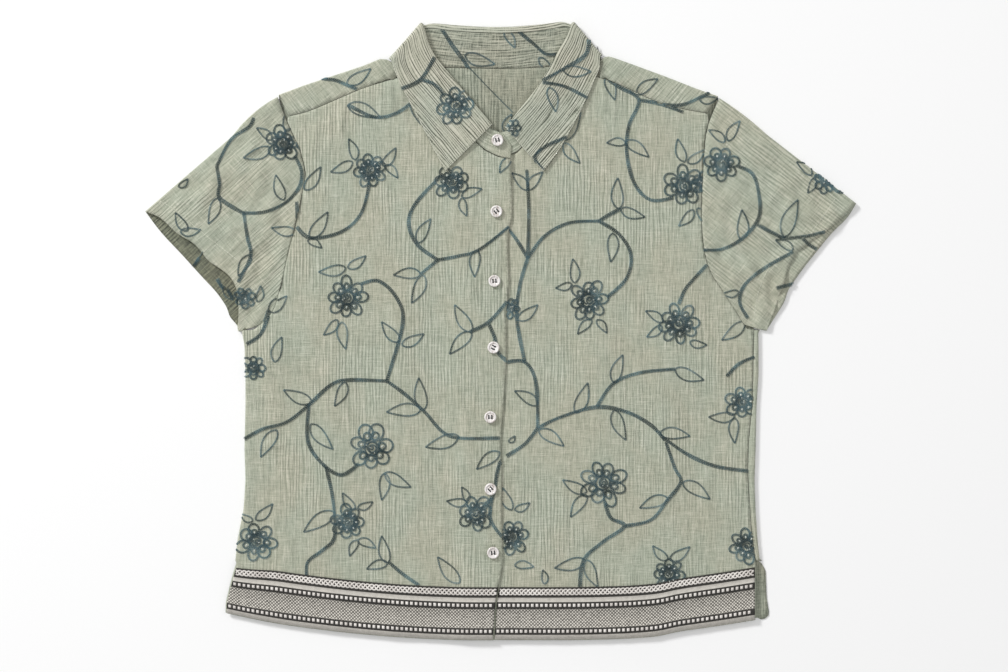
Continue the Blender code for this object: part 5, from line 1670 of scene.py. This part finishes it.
@dataclass(frozen=True)
class HemBorder:
    """The woven border on one front: bands, squares and a plait of three cords."""

    side: Side
    columns: int = 150
    lift: float = 0.75  # how far its middle lies over the front's
    step_width: float = 0.4  # how far a band's edge takes to rise
    cord_sides: int = 8
    cord_step: float = 0.7
    cord_height: float = 0.62  # share of its width
    cord_rise: Place = (0.85, 0.45)  # middle, and how far it goes over and under the others
    square_halves: tuple[Place, Place] = ((1.4, 0.55), (1.05, 1.05))  # half width, height
    square_shape: float = 1.15  # height over width

    @property
    def node(self) -> str:
        """The solid that it stands for."""
        return f"hem_border_{self.side.name.lower()}"

    def spots(self, x: Sequence[float], up: Sequence[float] | float,
              over: Sequence[float] | float) -> np.ndarray:
        """Finds places on the border.

        Args:
            x: Across.
            up: Their heights over the hem.
            over: Their heights over the cloth.

        Returns:
            The places.
        """
        x = np.asarray(x, float)
        y = at(HEM_CURVE, x) + up * border_share(x)
        lay = LAY.front_right if self.side is Side.RIGHT else LAY.front_left
        return np.stack([x, y, lay(x, y)[0][:, 2] + self.lift + over], axis=1)

    def bands(self, finishes: dict[str, Material]) -> Object:
        """The woven strip, each band with its own weave."""
        half = self.step_width / 2
        ups, rises = [BORDER_INSET], [BORDER_BANDS[0][2]]
        for (_, top, rise, _), (_, _, following, _) in zip(BORDER_BANDS, BORDER_BANDS[1:]):
            ups += [top - half, top + half]
            rises += [rise, following]
        ups.append(BORDER_BANDS[-1][1])
        rises.append(BORDER_BANDS[-1][2])
        points, grain, kinds = [], [], []
        for up, rise in zip(ups, rises):
            x = between(*border_ends(self.side, up), self.columns)
            points.append(self.spots(x, up, rise))
            grain += [(place, up) for place in x]
        for i in range(len(ups) - 1):
            band = BORDER_BANDS[min((i + 1) // 2, len(BORDER_BANDS) - 1)]
            kinds += [list(finishes).index(band[3])] * (self.columns - 1)
        points, faces = np.concatenate(points), grid_faces(len(ups), self.columns)
        mesh = make_mesh("border", points, faces, np.array(grain))
        border = make_object(f"woven_{self.node}", mesh, *finishes.values())
        mesh.polygons.foreach_set("material_index", kinds)
        wall = border.modifiers.new("Wall", "SOLIDIFY")
        wall.thickness = SHELL * MM
        wall.offset = 0
        wall.material_offset = 0
        settle(border)
        return border

    def cord(self, phase: float) -> tuple[np.ndarray, list[tuple[int, ...]]]:
        """Lays one wavy cord of the plait.

        Args:
            phase: Where its waves begin, in radians.

        Returns:
            Its points and faces.
        """
        left, right = border_ends(self.side, BRAID_MIDDLE)
        count = int((right - left) / self.cord_step)
        x = np.linspace(left + 1.2, right - 1.2, count)
        turn = 2 * pi * x / BRAID_WAVE + phase
        middle, rise = self.cord_rise
        spots = self.spots(x, BRAID_MIDDLE + BRAID_REACH * np.sin(turn), middle + rise * np.sin(2 * turn))
        along = np.gradient(spots, axis=0)
        along /= np.linalg.norm(along, axis=1, keepdims=True)
        across = np.cross((0, 0, 1), along)
        across /= np.linalg.norm(across, axis=1, keepdims=True)
        upward = self.cord_height * np.cross(along, across)
        sides = [spots + BRAID_CORD * (c * across + s * upward) for c, s in circle(self.cord_sides)]
        n, last = self.cord_sides, (count - 1) * self.cord_sides
        caps = [tuple(range(n)), tuple(last + n - 1 - k for k in range(n))]
        faces = grid_faces(count, n, closed=True, flip=True) + caps
        return np.stack(sides, axis=1).reshape(-1, 3), faces

    def plait(self, material: Material) -> Object:
        """Three cords that cross over and under each other."""
        points, faces = np.empty((0, 3)), []
        for phase in (0, 2 * pi / 3, 4 * pi / 3):
            more, turned = self.cord(phase)
            faces += [tuple(index + len(points) for index in face) for face in turned]
            points = np.concatenate([points, more])
        return make_object(f"plait_{self.node}", make_mesh("plait", points, faces), material)

    def squares(self, material: Material) -> Object:
        """The pale squares woven in the dark bands."""
        points, faces = [], []
        for up in SQUARE_ROWS:
            left, right = border_ends(self.side, up)
            for x in np.arange(left + 3, right - 2, SQUARE_PITCH):
                first = len(points)
                for half, over in self.square_halves:
                    for dx, dy in ((-1, -1), (1, -1), (1, 1), (-1, 1)):
                        points.append((x + dx * half, up + dy * half * self.square_shape, over))
                faces.append(tuple(first + 4 + k for k in range(4)))
                faces += grid_faces(2, 4, closed=True, first=first)
        mesh = make_mesh("squares", self.spots(*np.array(points).T), faces)
        return make_object(f"squares_{self.node}", mesh, material)

    def build(self, finishes: dict[str, Material], cream: Material) -> None:
        """Makes the border and hides the solid that it replaces.

        Args:
            finishes: The bands' weaves by name.
            cream: The cords' and squares' yarn.
        """
        for piece in (self.bands(finishes), self.plait(cream), self.squares(cream)):
            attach(piece, "root")
            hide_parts(self.node)


@dataclass(frozen=True)
class Buttons:
    """Seven four-hole buttons with a raised rim, each sewn on with dark thread."""

    sides: int = 56
    hole_sides: int = 16
    strand: float = 0.34  # a strand's radius
    strand_sides: int = 6
    strand_spots: Row = (-0.3, 0.3)  # how far the strands lie from a hole's middle
    strand_reach: float = 1.2  # how far they go, as a share of the holes' place
    strand_rise: float = 0.55  # how far they stand over the bed
    strand_drop: float = 2.4  # how far they go down at the holes
    bed: float = 0.7  # height of the button's middle, as a share of its thickness

    def holes(self) -> Object:
        """Four tubes, where the holes are."""
        points, faces = [], []
        n, round_it = self.hole_sides, circle(self.hole_sides)
        for sx in (-1, 1):
            for sy in (-1, 1):
                first = len(points)
                for z in (-BUTTON_THICKNESS, 2 * BUTTON_THICKNESS):
                    for c, s in round_it:
                        x = sx * BUTTON_HOLE_SPREAD + BUTTON_HOLE_RADIUS * c
                        points.append((x, sy * BUTTON_HOLE_SPREAD + BUTTON_HOLE_RADIUS * s, z))
                faces += grid_faces(2, n, closed=True, first=first)
                faces.append(tuple(first + n - 1 - k for k in range(n)))
                faces.append(tuple(first + n + k for k in range(n)))
        return make_object("holes", make_mesh("holes", np.array(points), faces))

    def shape(self) -> Mesh:
        """The button, centred, standing on its underside."""
        profile, n = smooth_curve(BUTTON_PROFILE, 3), self.sides
        points = []
        for radius, height in profile:
            for c, s in circle(n):
                x, y = BUTTON_RADIUS * radius * c, BUTTON_RADIUS * radius * s
                points.append((x, y, BUTTON_THICKNESS * height))
        faces = grid_faces(len(profile), n, closed=True)
        faces += [tuple(reversed(range(n))), tuple((len(profile) - 1) * n + k for k in range(n))]
        disc, holes = make_object("disc", make_mesh("disc", np.array(points), faces)), self.holes()
        cut = disc.modifiers.new("Holes", "BOOLEAN")
        cut.object = holes
        settle(disc)
        mesh = disc.data
        for helper in (disc, holes):
            bpy.data.objects.remove(helper)
        return mesh

    def thread(self) -> Mesh:
        """Two strands on each side over the button's middle, through its holes."""
        points, faces = [], []
        for sx in (-1, 1):
            for strand in self.strand_spots:
                first, shares = len(points), between(-1, 1, 13)
                for share in shares:
                    y = BUTTON_HOLE_SPREAD * self.strand_reach * share
                    z = BUTTON_THICKNESS * self.bed + self.strand_rise - self.strand_drop * abs(share) ** 6
                    for c, s in circle(self.strand_sides):
                        x = sx * BUTTON_HOLE_SPREAD + strand + self.strand * c
                        points.append((x, y, z + self.strand * s))
                faces += grid_faces(len(shares), self.strand_sides, closed=True, flip=True, first=first)
        return make_mesh("strands", np.array(points), faces)

    def build(self, shell: Material, dark: Material) -> None:
        """Sets every button where its solid is.

        Args:
            shell: The buttons' material.
            dark: Their thread's.
        """
        kinds = (("button", self.shape(), shell), ("button_thread", self.thread(), dark))
        for number, turn in enumerate(BUTTON_TURNS, 1):
            low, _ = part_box(f"button_{number}")
            x, y = button_place(number)
            middle = Matrix.Translation((x * MM, y * MM, low[2]))
            for name, mesh, material in kinds:
                piece = make_object(f"{name}_finish_{number}", mesh.copy(), material)
                piece.data.transform(middle @ Matrix.Rotation(radians(turn), 4, "Z"))
                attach(piece, "root")
                if name == "button":
                    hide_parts(f"button_{number}")


def linear(colour: str) -> tuple[float, float, float, float]:
    """A colour written as #rrggbb, in linear light."""
    values = [int(colour[k:k + 2], 16) / 255 for k in (1, 3, 5)]
    return (*(v / 12.92 if v <= 0.04045 else ((v + 0.055) / 1.055) ** 2.4 for v in values), 1)


class Graph:
    """A material's nodes."""

    def __init__(self, name: str) -> None:
        """Starts an empty material."""
        self.material = bpy.data.materials.new(name)
        self.material.use_nodes = True
        self.tree = self.material.node_tree
        self.tree.nodes.clear()

    def add(self, kind: str, inputs: dict[str | int, object], stops: Sequence[tuple[float, str]] = (),
            **settings: object) -> Node:
        """Adds a node.

        Args:
            kind: Its type.
            inputs: A value or another node's output for each input, by name or number.
            stops: A colour ramp's positions and colours.
            **settings: The node's own properties.

        Returns:
            The node.
        """
        node = self.tree.nodes.new(f"ShaderNode{kind}")
        for key, value in settings.items():
            setattr(node, key, value)
        for key, value in inputs.items():
            if isinstance(value, NodeSocket):
                self.tree.links.new(value, node.inputs[key])
            else:
                node.inputs[key].default_value = value
        for number, (position, colour) in enumerate(stops):
            ramp = node.color_ramp.elements
            stop = ramp[number] if number < 2 else ramp.new(position)
            stop.position = position
            stop.color = linear(colour)
        return node

    def noise(self, vector: NodeSocket, scale: Row, detail: float = 1.5) -> NodeSocket:
        """Adds noise.

        Args:
            vector: What places it.
            scale: Its cells' sizes in millimetres, two or three.
            detail: How many finer sorts are in it.

        Returns:
            Its value, from 0 to 1.
        """
        stretch = [1 / (size * MM) for size in scale] + [1] * (3 - len(scale))
        stretched = self.add("Mapping", {"Vector": vector, "Scale": stretch}).outputs[0]
        inputs = {"Vector": stretched, "Scale": 1, "Detail": detail}
        return self.add("TexNoise", inputs, noise_dimensions=f"{len(scale)}D").outputs[0]

    def total(self, parts: Sequence[tuple[NodeSocket, float]]) -> NodeSocket:
        """Adds up values, each counted from its middle of a half.

        Args:
            parts: Values and their weights.

        Returns:
            The sum, which has its middle at a half too.
        """
        value: object = 0.5 - 0.5 * sum(weight for _, weight in parts)
        for socket, weight in parts:
            value = self.add("Math", {0: socket, 1: weight, 2: value}, operation="MULTIPLY_ADD").outputs[0]
        return value

    def surface(self, colour: object, roughness: object, height: NodeSocket | None = None,
                depth: float = 0.3, **extra: object) -> Material:
        """Ends the material with a shader.

        Args:
            colour: The base colour, a value or an output.
            roughness: The same for its roughness.
            height: Relief from 0 to 1, if it has any.
            depth: How deep that relief is, in millimetres.
            **extra: Other inputs of the shader, with underscores for spaces.

        Returns:
            The finished material.
        """
        inputs = {"Base Color": colour, "Roughness": roughness}
        inputs.update({key.replace("_", " "): value for key, value in extra.items()})
        if height is not None:
            bump = self.add("Bump", {"Height": height, "Distance": depth * MM, "Strength": 1})
            inputs["Normal"] = bump.outputs[0]
        shader = self.add("BsdfPrincipled", inputs)
        self.add("OutputMaterial", {"Surface": shader.outputs[0]})
        return self.material


@dataclass(frozen=True)
class SlubCloth:
    """Slub cotton, plainly woven, dyed and garment-washed until it crinkles.

    Cotton is matt and dry, so it is rough all over, with a trace of fibre sheen and no gloss;
    its IOR is the shader's own 1.5.  Real yarns are about 0.3 mm apart, less than a pixel, so
    they are drawn 0.7 to 1.5 mm wide.  Slubs have their real size, about 1 mm by 10 to 30 mm,
    both ways, and so have the crinkle's ridges, 3 to 4 mm apart.  The ridges go into the colour
    as well as the relief: painted shade in their grooves, painted light on their crests.
    """

    name: str
    stops: tuple[tuple[float, str], ...]
    slub: str = "#d2d1c3"
    layers: tuple[Row, ...] = (  # across, along, weight of the yarns' noises
        (1.5, 26, 0.62), (0.85, 9, 0.6), (2.6, 60, 0.28), (24, 1.1, 0.42), (9, 0.8, 0.5),
        (0.7, 0.7, 0.4),
    )
    slubs: tuple[Row, ...] = ((1.1, 30, 0.5), (26, 0.9, 0.55), (0.9, 9, 0.35))  # and most paleness
    slub_range: Place = (0.62, 0.76)  # values of their noise between which they appear
    crinkle: Row = (3.6, 24, 1.1)  # across, along, weight in the relief
    ribs: Row = (3.3, 0.6)  # pitch, weight; they darken and lighten the colour too, as painted shade and light
    patches: Place = (55, 80)  # across, along: the ribs show in patches of this size
    patch_range: Place = (0.42, 0.62)
    drift: float = 5.0  # how unevenly the ribs lie
    drift_cells: Place = (7, 60)
    least: float = 0.0  # how much of the ribs is left between the patches
    mottle: tuple[str, str] = ("#fcf9f3", "#f6faf6")  # uneven dye
    mottle_cells: Place = (48, 70)
    depth: float = 0.5
    roughness: float = 0.88
    sheen: float = 0.12

    def build(self) -> Material:
        """Makes the material; it follows the cut piece's grain."""
        graph = Graph(self.name)
        grain = graph.add("UVMap", {}, uv_map="Grain").outputs[0]
        parts = [(graph.noise(grain, cells), weight) for *cells, weight in self.layers]
        pitch, weight = self.ribs
        wave = graph.add("SeparateXYZ", {0: grain}).outputs[0]
        wave = graph.add("Math", {0: wave, 1: pi / (pitch * MM)}, operation="MULTIPLY").outputs[0]
        drift = graph.noise(grain, self.drift_cells)
        wave = graph.add("Math", {0: drift, 1: self.drift, 2: wave}, operation="MULTIPLY_ADD").outputs[0]
        wave = graph.add("Math", {0: wave}, operation="SINE").outputs[0]
        wave = graph.add("Math", {0: wave}, operation="ABSOLUTE").outputs[0]
        wave = graph.add("Math", {0: wave, 1: 2 / pi}, operation="SUBTRACT").outputs[0]
        low, high = self.patch_range
        inputs = {0: graph.noise(grain, self.patches), 1: low, 2: high, 3: self.least}
        patch = graph.add("MapRange", inputs).outputs[0]
        wave = graph.add("Math", {0: wave, 1: patch}, operation="MULTIPLY").outputs[0]
        # The ridges' wave joins the yarns' value, which sets the colour as well as the relief: painted
        # shade in the grooves, painted light on the crests.
        parts.append((graph.add("Math", {0: wave, 1: 0.5}, operation="ADD").outputs[0], weight))
        yarns = graph.total(parts)
        colour = graph.add("ValToRGB", {0: yarns}, stops=self.stops).outputs[0]
        low, high = self.slub_range
        for *cells, most in self.slubs:
            inputs = {0: graph.noise(grain, cells), 1: low, 2: high, 4: most}
            share = graph.add("MapRange", inputs).outputs[0]
            colour = graph.add("MixRGB", {0: share, 1: colour, 2: linear(self.slub)}).outputs[0]
        mottle = graph.noise(grain, self.mottle_cells, 3)
        stops = ((0.35, self.mottle[0]), (0.65, self.mottle[1]))
        mottle = graph.add("ValToRGB", {0: mottle}, stops=stops).outputs[0]
        colour = graph.add("MixRGB", {0: 1, 1: colour, 2: mottle}, blend_type="MULTIPLY").outputs[0]
        *cells, weight = self.crinkle
        crinkle = graph.noise(grain, cells, 2.5)
        relief = graph.add("Math", {0: crinkle, 1: weight, 2: yarns}, operation="MULTIPLY_ADD").outputs[0]
        sheen = {"Sheen_Weight": self.sheen, "Sheen_Roughness": 0.5}
        return graph.surface(colour, self.roughness, relief, self.depth, **sheen)


@dataclass(frozen=True)
class Thread:
    """Spun and twisted cotton thread, a little darker and paler from place to place.

    Mercerising gives embroidery cotton a soft gloss, less than silk and more than the cloth.
    Its strands' twist, 0.3 mm in a real one, is drawn 0.8 mm long.  The dye changes slowly, as
    it has washed out unevenly.
    """

    name: str
    stops: tuple[tuple[float, str], ...]
    patch: float = 0.5  # how much it changes from place to place
    twist: float = 0.8
    patch_size: float = 17.0
    roughness: float = 0.6
    sheen: float = 0.15

    def build(self) -> Material:
        """Makes the material; it follows places in the shirt's frame."""
        graph = Graph(self.name)
        spot = graph.add("TexCoord", {}).outputs["Object"]
        fine, slow = graph.noise(spot, (self.twist,) * 3), graph.noise(spot, (self.patch_size,) * 3)
        twist = graph.total([(fine, 0.9), (slow, self.patch)])
        colour = graph.add("ValToRGB", {0: twist}, stops=self.stops).outputs[0]
        return graph.surface(colour, self.roughness, twist, 0.08, Sheen_Weight=self.sheen)


@dataclass(frozen=True)
class BandWeave:
    """A band of the border: spun cotton yarns of one or two colours, woven as a trimming.

    It is matt, with the yarns as fine lines.  Real ones are about 0.5 mm apart, too fine to
    show, so that they are drawn 0.9 to 1.2 mm apart, and the crossed ones, 2 mm, 3.3 mm apart.
    """

    name: str
    dark: str
    pale: str
    pitch: float = 1.0  # millimetres between two yarns
    leans: Row = (0,)  # how far the yarns lean, one number for each set of them
    contrast: float = 0.5
    reach: Place = (0.25, 0.75)  # where the ramp is dark and where it is pale

    def build(self) -> Material:
        """Makes the material; it follows the border's length and height."""
        graph = Graph(self.name)
        grain = graph.add("UVMap", {}, uv_map="Grain").outputs[0]
        along, up, _ = graph.add("SeparateXYZ", {0: grain}).outputs
        lines = 1
        for lean in self.leans:
            yarn = graph.add("Math", {0: up, 1: lean, 2: along}, operation="MULTIPLY_ADD").outputs[0]
            turn = 2 * pi / (self.pitch * MM)
            yarn = graph.add("Math", {0: yarn, 1: turn}, operation="MULTIPLY").outputs[0]
            yarn = graph.add("Math", {0: yarn}, operation="SINE").outputs[0]
            yarn = graph.add("Math", {0: yarn, 1: 0.5, 2: 0.5}, operation="MULTIPLY_ADD").outputs[0]
            lines = graph.add("Math", {0: yarn, 1: lines}, operation="MINIMUM").outputs[0]
        fuzz, slub = graph.noise(grain, (0.7, 0.7)), graph.noise(grain, (5, 2))
        value = graph.total([(lines, self.contrast), (fuzz, 0.6), (slub, 0.4)])
        stops = tuple(zip(self.reach, (self.dark, self.pale)))
        colour = graph.add("ValToRGB", {0: value}, stops=stops).outputs[0]
        return graph.surface(colour, 0.85, value, 0.25, Sheen_Weight=0.1)


@dataclass(frozen=True)
class Pearl:
    """Freshwater shell, turned and polished: glossy, with soft bands as in a real one.

    Its IOR, 1.53, is near the shader's own.  The bands are 1.4 mm thick and 6 mm long.
    """

    name: str = "pale shell button"
    bands: Row = (1.4, 6, 6)
    stops: tuple[tuple[float, str], ...] = (
        (0.3, "#b5a9a0"), (0.5, "#e4dedb"), (0.62, "#f1ecea"), (0.75, "#d9dfd8"),
    )

    def build(self) -> Material:
        """Makes the material; it follows places in the shirt's frame."""
        graph = Graph(self.name)
        spot = graph.add("TexCoord", {}).outputs["Object"]
        bands = graph.noise(spot, self.bands, 3)
        colour = graph.add("ValToRGB", {0: bands}, stops=self.stops).outputs[0]
        return graph.surface(colour, 0.24, bands, 0.04, Coat_Weight=0.5, Coat_Roughness=0.12)


@dataclass(frozen=True)
class Paper:
    """Uncoated white background paper, from a roll: matt and even, its tooth hardly seen."""

    name: str = "white paper floor"
    tooth: float = 0.9  # a real one is about 0.1 mm, too fine to show

    def build(self) -> Material:
        """Makes the material."""
        graph = Graph(self.name)
        spot = graph.add("TexCoord", {}).outputs["Object"]
        tooth = graph.noise(spot, (self.tooth,) * 3, 2)
        colour = graph.add("ValToRGB", {0: tooth}, stops=((0.3, "#f9f9f9"), (0.7, "#fbfbfb"))).outputs[0]
        return graph.surface(colour, 0.9, tooth, 0.02)


# The face of the cloth: grey green, with paler slubs and fine lengthwise ridges in patches, whose grooves
# and crests are painted darker and paler in the colour.
BODY_COTTON = SlubCloth("sage green slub crinkle cotton", (
    (0.22, "#969b8c"), (0.42, "#a8ac9c"), (0.55, "#b1b4a4"), (0.70, "#b9bbac"), (0.86, "#cdcdbf"),
))
# The collar's outside: stiffened by its interfacing, so that the ridges stand up; the shade that they cast
# on each other is painted into the colour as thin dark grooves.
RIBBED_COTTON = SlubCloth(
    "sage green slub cotton, raised ribs",
    ((0.1, "#51564c"), (0.27, "#84877a"), (0.40, "#b0b3a4"), (0.66, "#bdbeb0"), (0.92, "#d6d5c9")),
    layers=((1.4, 40, 0.5), (0.8, 14, 0.5), (14, 1, 0.25), (5, 0.8, 0.3), (0.7, 0.7, 0.4)),
    slubs=((0.9, 22, 0.5),), ribs=(2.35, 0.95), patches=(8, 45), least=0.5, drift=7,
)
# The stand's inside: the same ridges, softer and in the collar's shade.
STAND_COTTON = SlubCloth(
    "sage green slub cotton, inside of the stand",
    ((0.22, "#5f6459"), (0.42, "#92968a"), (0.55, "#a7aa9b"), (0.70, "#b1b3a4"), (0.86, "#c4c4b6")),
    ribs=(2.8, 0.8), patches=(20, 60), least=0.3,
)
# The wrong side: the dye shows through less, so that it is greyer and duller than the face.
# It is darkened beyond that as painted shade, for the back's inside where it shows in the neck under the
# collar.
WRONG_SIDE_AND_NECK_SHADE = SlubCloth(
    "sage green slub cotton, wrong side",
    ((0.22, "#75796d"), (0.42, "#909486"), (0.55, "#9ea192"), (0.70, "#a8aa9b"), (0.86, "#bcbcad")),
    slub="#bcbcac",
)
# The sleeves' inside: the wrong side of the cloth, made darker and yellower still as painted shade, since
# no light reaches it straight.
SLEEVE_INSIDE_SHADE = SlubCloth(
    "sage green slub cotton, wrong side of the sleeves",
    ((0.22, "#505349"), (0.42, "#686b5e"), (0.55, "#777a67"), (0.70, "#868876"), (0.86, "#9a9a87")),
    slub="#8e8f7c",
)
# Stranded and mercerised embroidery cotton, slate teal: soft gloss, and it fades in long patches.
TEAL_COTTON = Thread("slate teal embroidery cotton", (
    (0.2, "#2d4041"), (0.42, "#3b5459"), (0.60, "#4f6e76"), (0.85, "#7a9a9f"),
), 1.5)
# The same where it has faded: paler and greyer, which lets petals and leaves stand apart.
FADED_COTTON = Thread("slate teal embroidery cotton, paler strands", (
    (0.2, "#435457"), (0.45, "#566c71"), (0.62, "#6d868b"), (0.85, "#9bafb0"),
), 1.3)
# The knots' cotton is undyed: small light spots in the flowers. The knots at the petals' inner ends also
# stand for painted highlights, the glints on dark knots.
PALE_COTTON_AND_GLINTS = Thread("pale embroidery cotton and painted glints", ((0.3, "#b3bdb8"), (0.7, "#e4e6dc")))
# Spun sewing thread: on the hems it is a little fuller and paler than the cloth, and these pale rows also
# paint the highlight along the hems' folded tops and the collar's rolled edge; in the seams it matches the
# cloth and hardly shows, and on the buttons it is nearly black.
HEM_THREAD_AND_HIGHLIGHT = Thread("pale sewing thread and painted fold highlight", ((0.3, "#b3b5a4"), (0.7, "#dfe0d1")))
SEAM_THREAD = Thread("grey green sewing thread", ((0.3, "#8b917e"), (0.7, "#c3c6b4")))
# Its near-black also stands in the buttonhole slits as painted shade.
DARK_THREAD_AND_SLIT_SHADE = Thread("dark sewing thread and painted slit shade", ((0.3, "#23282a"), (0.7, "#3c4244")))
# Twisted cotton cord, undyed: thick and soft, and it makes the pale plait and squares stand out.
CREAM_CORD = Thread("cream cotton cord", ((0.3, "#bdb6b0"), (0.7, "#f6f2ec")))
# The trimming's weaves: undyed weft, dyed warp, and dyed yarns that cross over an undyed ground.
BAND_WEAVES = {
    "cream": BandWeave("cream grey weft band", "#aba79f", "#e0dbd2", 1.2),
    "charcoal": BandWeave("charcoal woven band", "#1d1c1a", "#413e3a", 0.9),
    "lattice": BandWeave(
        "cream band with crossed charcoal yarns", "#3f3c38", "#e6e1d6", 3.3, (1, -1), 1, (0, 0.62)
    ),
}


@dataclass(frozen=True)
class Studio:
    """The floor, the lights and a camera straight above the shirt."""

    target: Row = (3.25, -6, 4)
    distance: float = 2380.0
    lens: float = 85.0
    floor: float = 4000.0  # half its width
    sky: float = 0.47
    lamps: tuple[Row, ...] = (  # x, y, z, size, power
        (0, 0.1, 3.2, 1.6, 21), (-3.9, 3.6, 3, 1.1, 272),
    )

    def build(self) -> None:
        """Sets everything up."""
        corners = [(x * self.floor, y * self.floor, 0) for x, y in ((-1, -1), (1, -1), (1, 1), (-1, 1))]
        floor = make_object("floor", make_mesh("floor", np.array(corners), [(0, 1, 2, 3)]), Paper().build())
        scene = bpy.context.scene
        world = bpy.data.worlds.new("pale room")
        world.use_nodes = True
        background = world.node_tree.nodes["Background"]
        background.inputs["Color"].default_value = (1, 1, 1, 1)
        background.inputs["Strength"].default_value = self.sky
        scene.world = world
        for number, (x, y, z, size, power) in enumerate(self.lamps):
            data = bpy.data.lights.new(f"softbox_{number}", "AREA")
            data.energy, data.size = power, size
            lamp = bpy.data.objects.new(data.name, data)
            lamp.location = (x, y, z)
            lamp.rotation_euler = (-lamp.location).to_track_quat("-Z", "Y").to_euler()
            scene.collection.objects.link(lamp)
        data = bpy.data.cameras.new("camera")
        data.lens, data.sensor_width = self.lens, 36
        data.clip_start, data.clip_end = 0.05, 20
        camera = bpy.data.objects.new("camera", data)
        camera.location = Vector(self.target) * MM + Vector((0, 0, self.distance * MM))
        scene.collection.objects.link(camera)
        scene.camera = camera
        scene.view_settings.view_transform = "Standard"


def build_shirt() -> None:
    """Dresses every solid of the frame."""
    shells = [
        cut_shell(Piece.BACK, *back_outline(), 4.5, LAY.back, "body_cloth"),
        cut_shell(Piece.FRONT_RIGHT, *front_right_outline(), 3, LAY.front_right, "body_cloth"),
        cut_shell(Piece.FRONT_LEFT, *front_left_outline(), 3, LAY.front_left, "body_cloth"),
        Sleeve(Piece.SLEEVE_RIGHT, Side.RIGHT, -48.3).shell(),
        Sleeve(
            Piece.SLEEVE_LEFT, Side.LEFT, 51.5,
            cuff_lift=0.3, cuff_wave=0.7, hem_lift=1.9, bulge=1.5, sag=0,
        ).shell(),
        *Collar().shells(),
    ]
    # The back lies wrong side up, so the neck's inside shows the wrong side's painted shade; the right
    # sleeve's inside is painted shade too.
    body, wrong = BODY_COTTON.build(), WRONG_SIDE_AND_NECK_SHADE.build()
    sides = {
        Piece.STAND: (body, STAND_COTTON.build()), Piece.BACK: (wrong, body),
        Piece.SLEEVE_RIGHT: (body, SLEEVE_INSIDE_SHADE.build()), Piece.SLEEVE_LEFT: (body, body),
        Piece.COLLAR: (wrong, RIBBED_COTTON.build()),
    }
    cloths = {shell.piece: shell.build(*sides.get(shell.piece, (body, wrong))) for shell in shells}
    surfaces = Surfaces(cloths)
    threads = (TEAL_COTTON.build(), FADED_COTTON.build(), PALE_COTTON_AND_GLINTS.build())
    for piece in Piece:
        Embroidery(piece, surfaces).build(*threads)
    dark = DARK_THREAD_AND_SLIT_SHADE.build()
    Stitching(surfaces).build(SEAM_THREAD.build(), HEM_THREAD_AND_HIGHLIGHT.build(), dark)
    weaves, cream = {name: weave.build() for name, weave in BAND_WEAVES.items()}, CREAM_CORD.build()
    for side in Side:
        HemBorder(side).build(weaves, cream)
    Buttons().build(Pearl().build(), dark)


def main() -> None:
    """Builds the scene."""
    logging.basicConfig(level=logging.INFO, format="%(name)s: %(message)s")
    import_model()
    build_shirt()
    Studio().build()


if __name__ == "__main__":
    main()
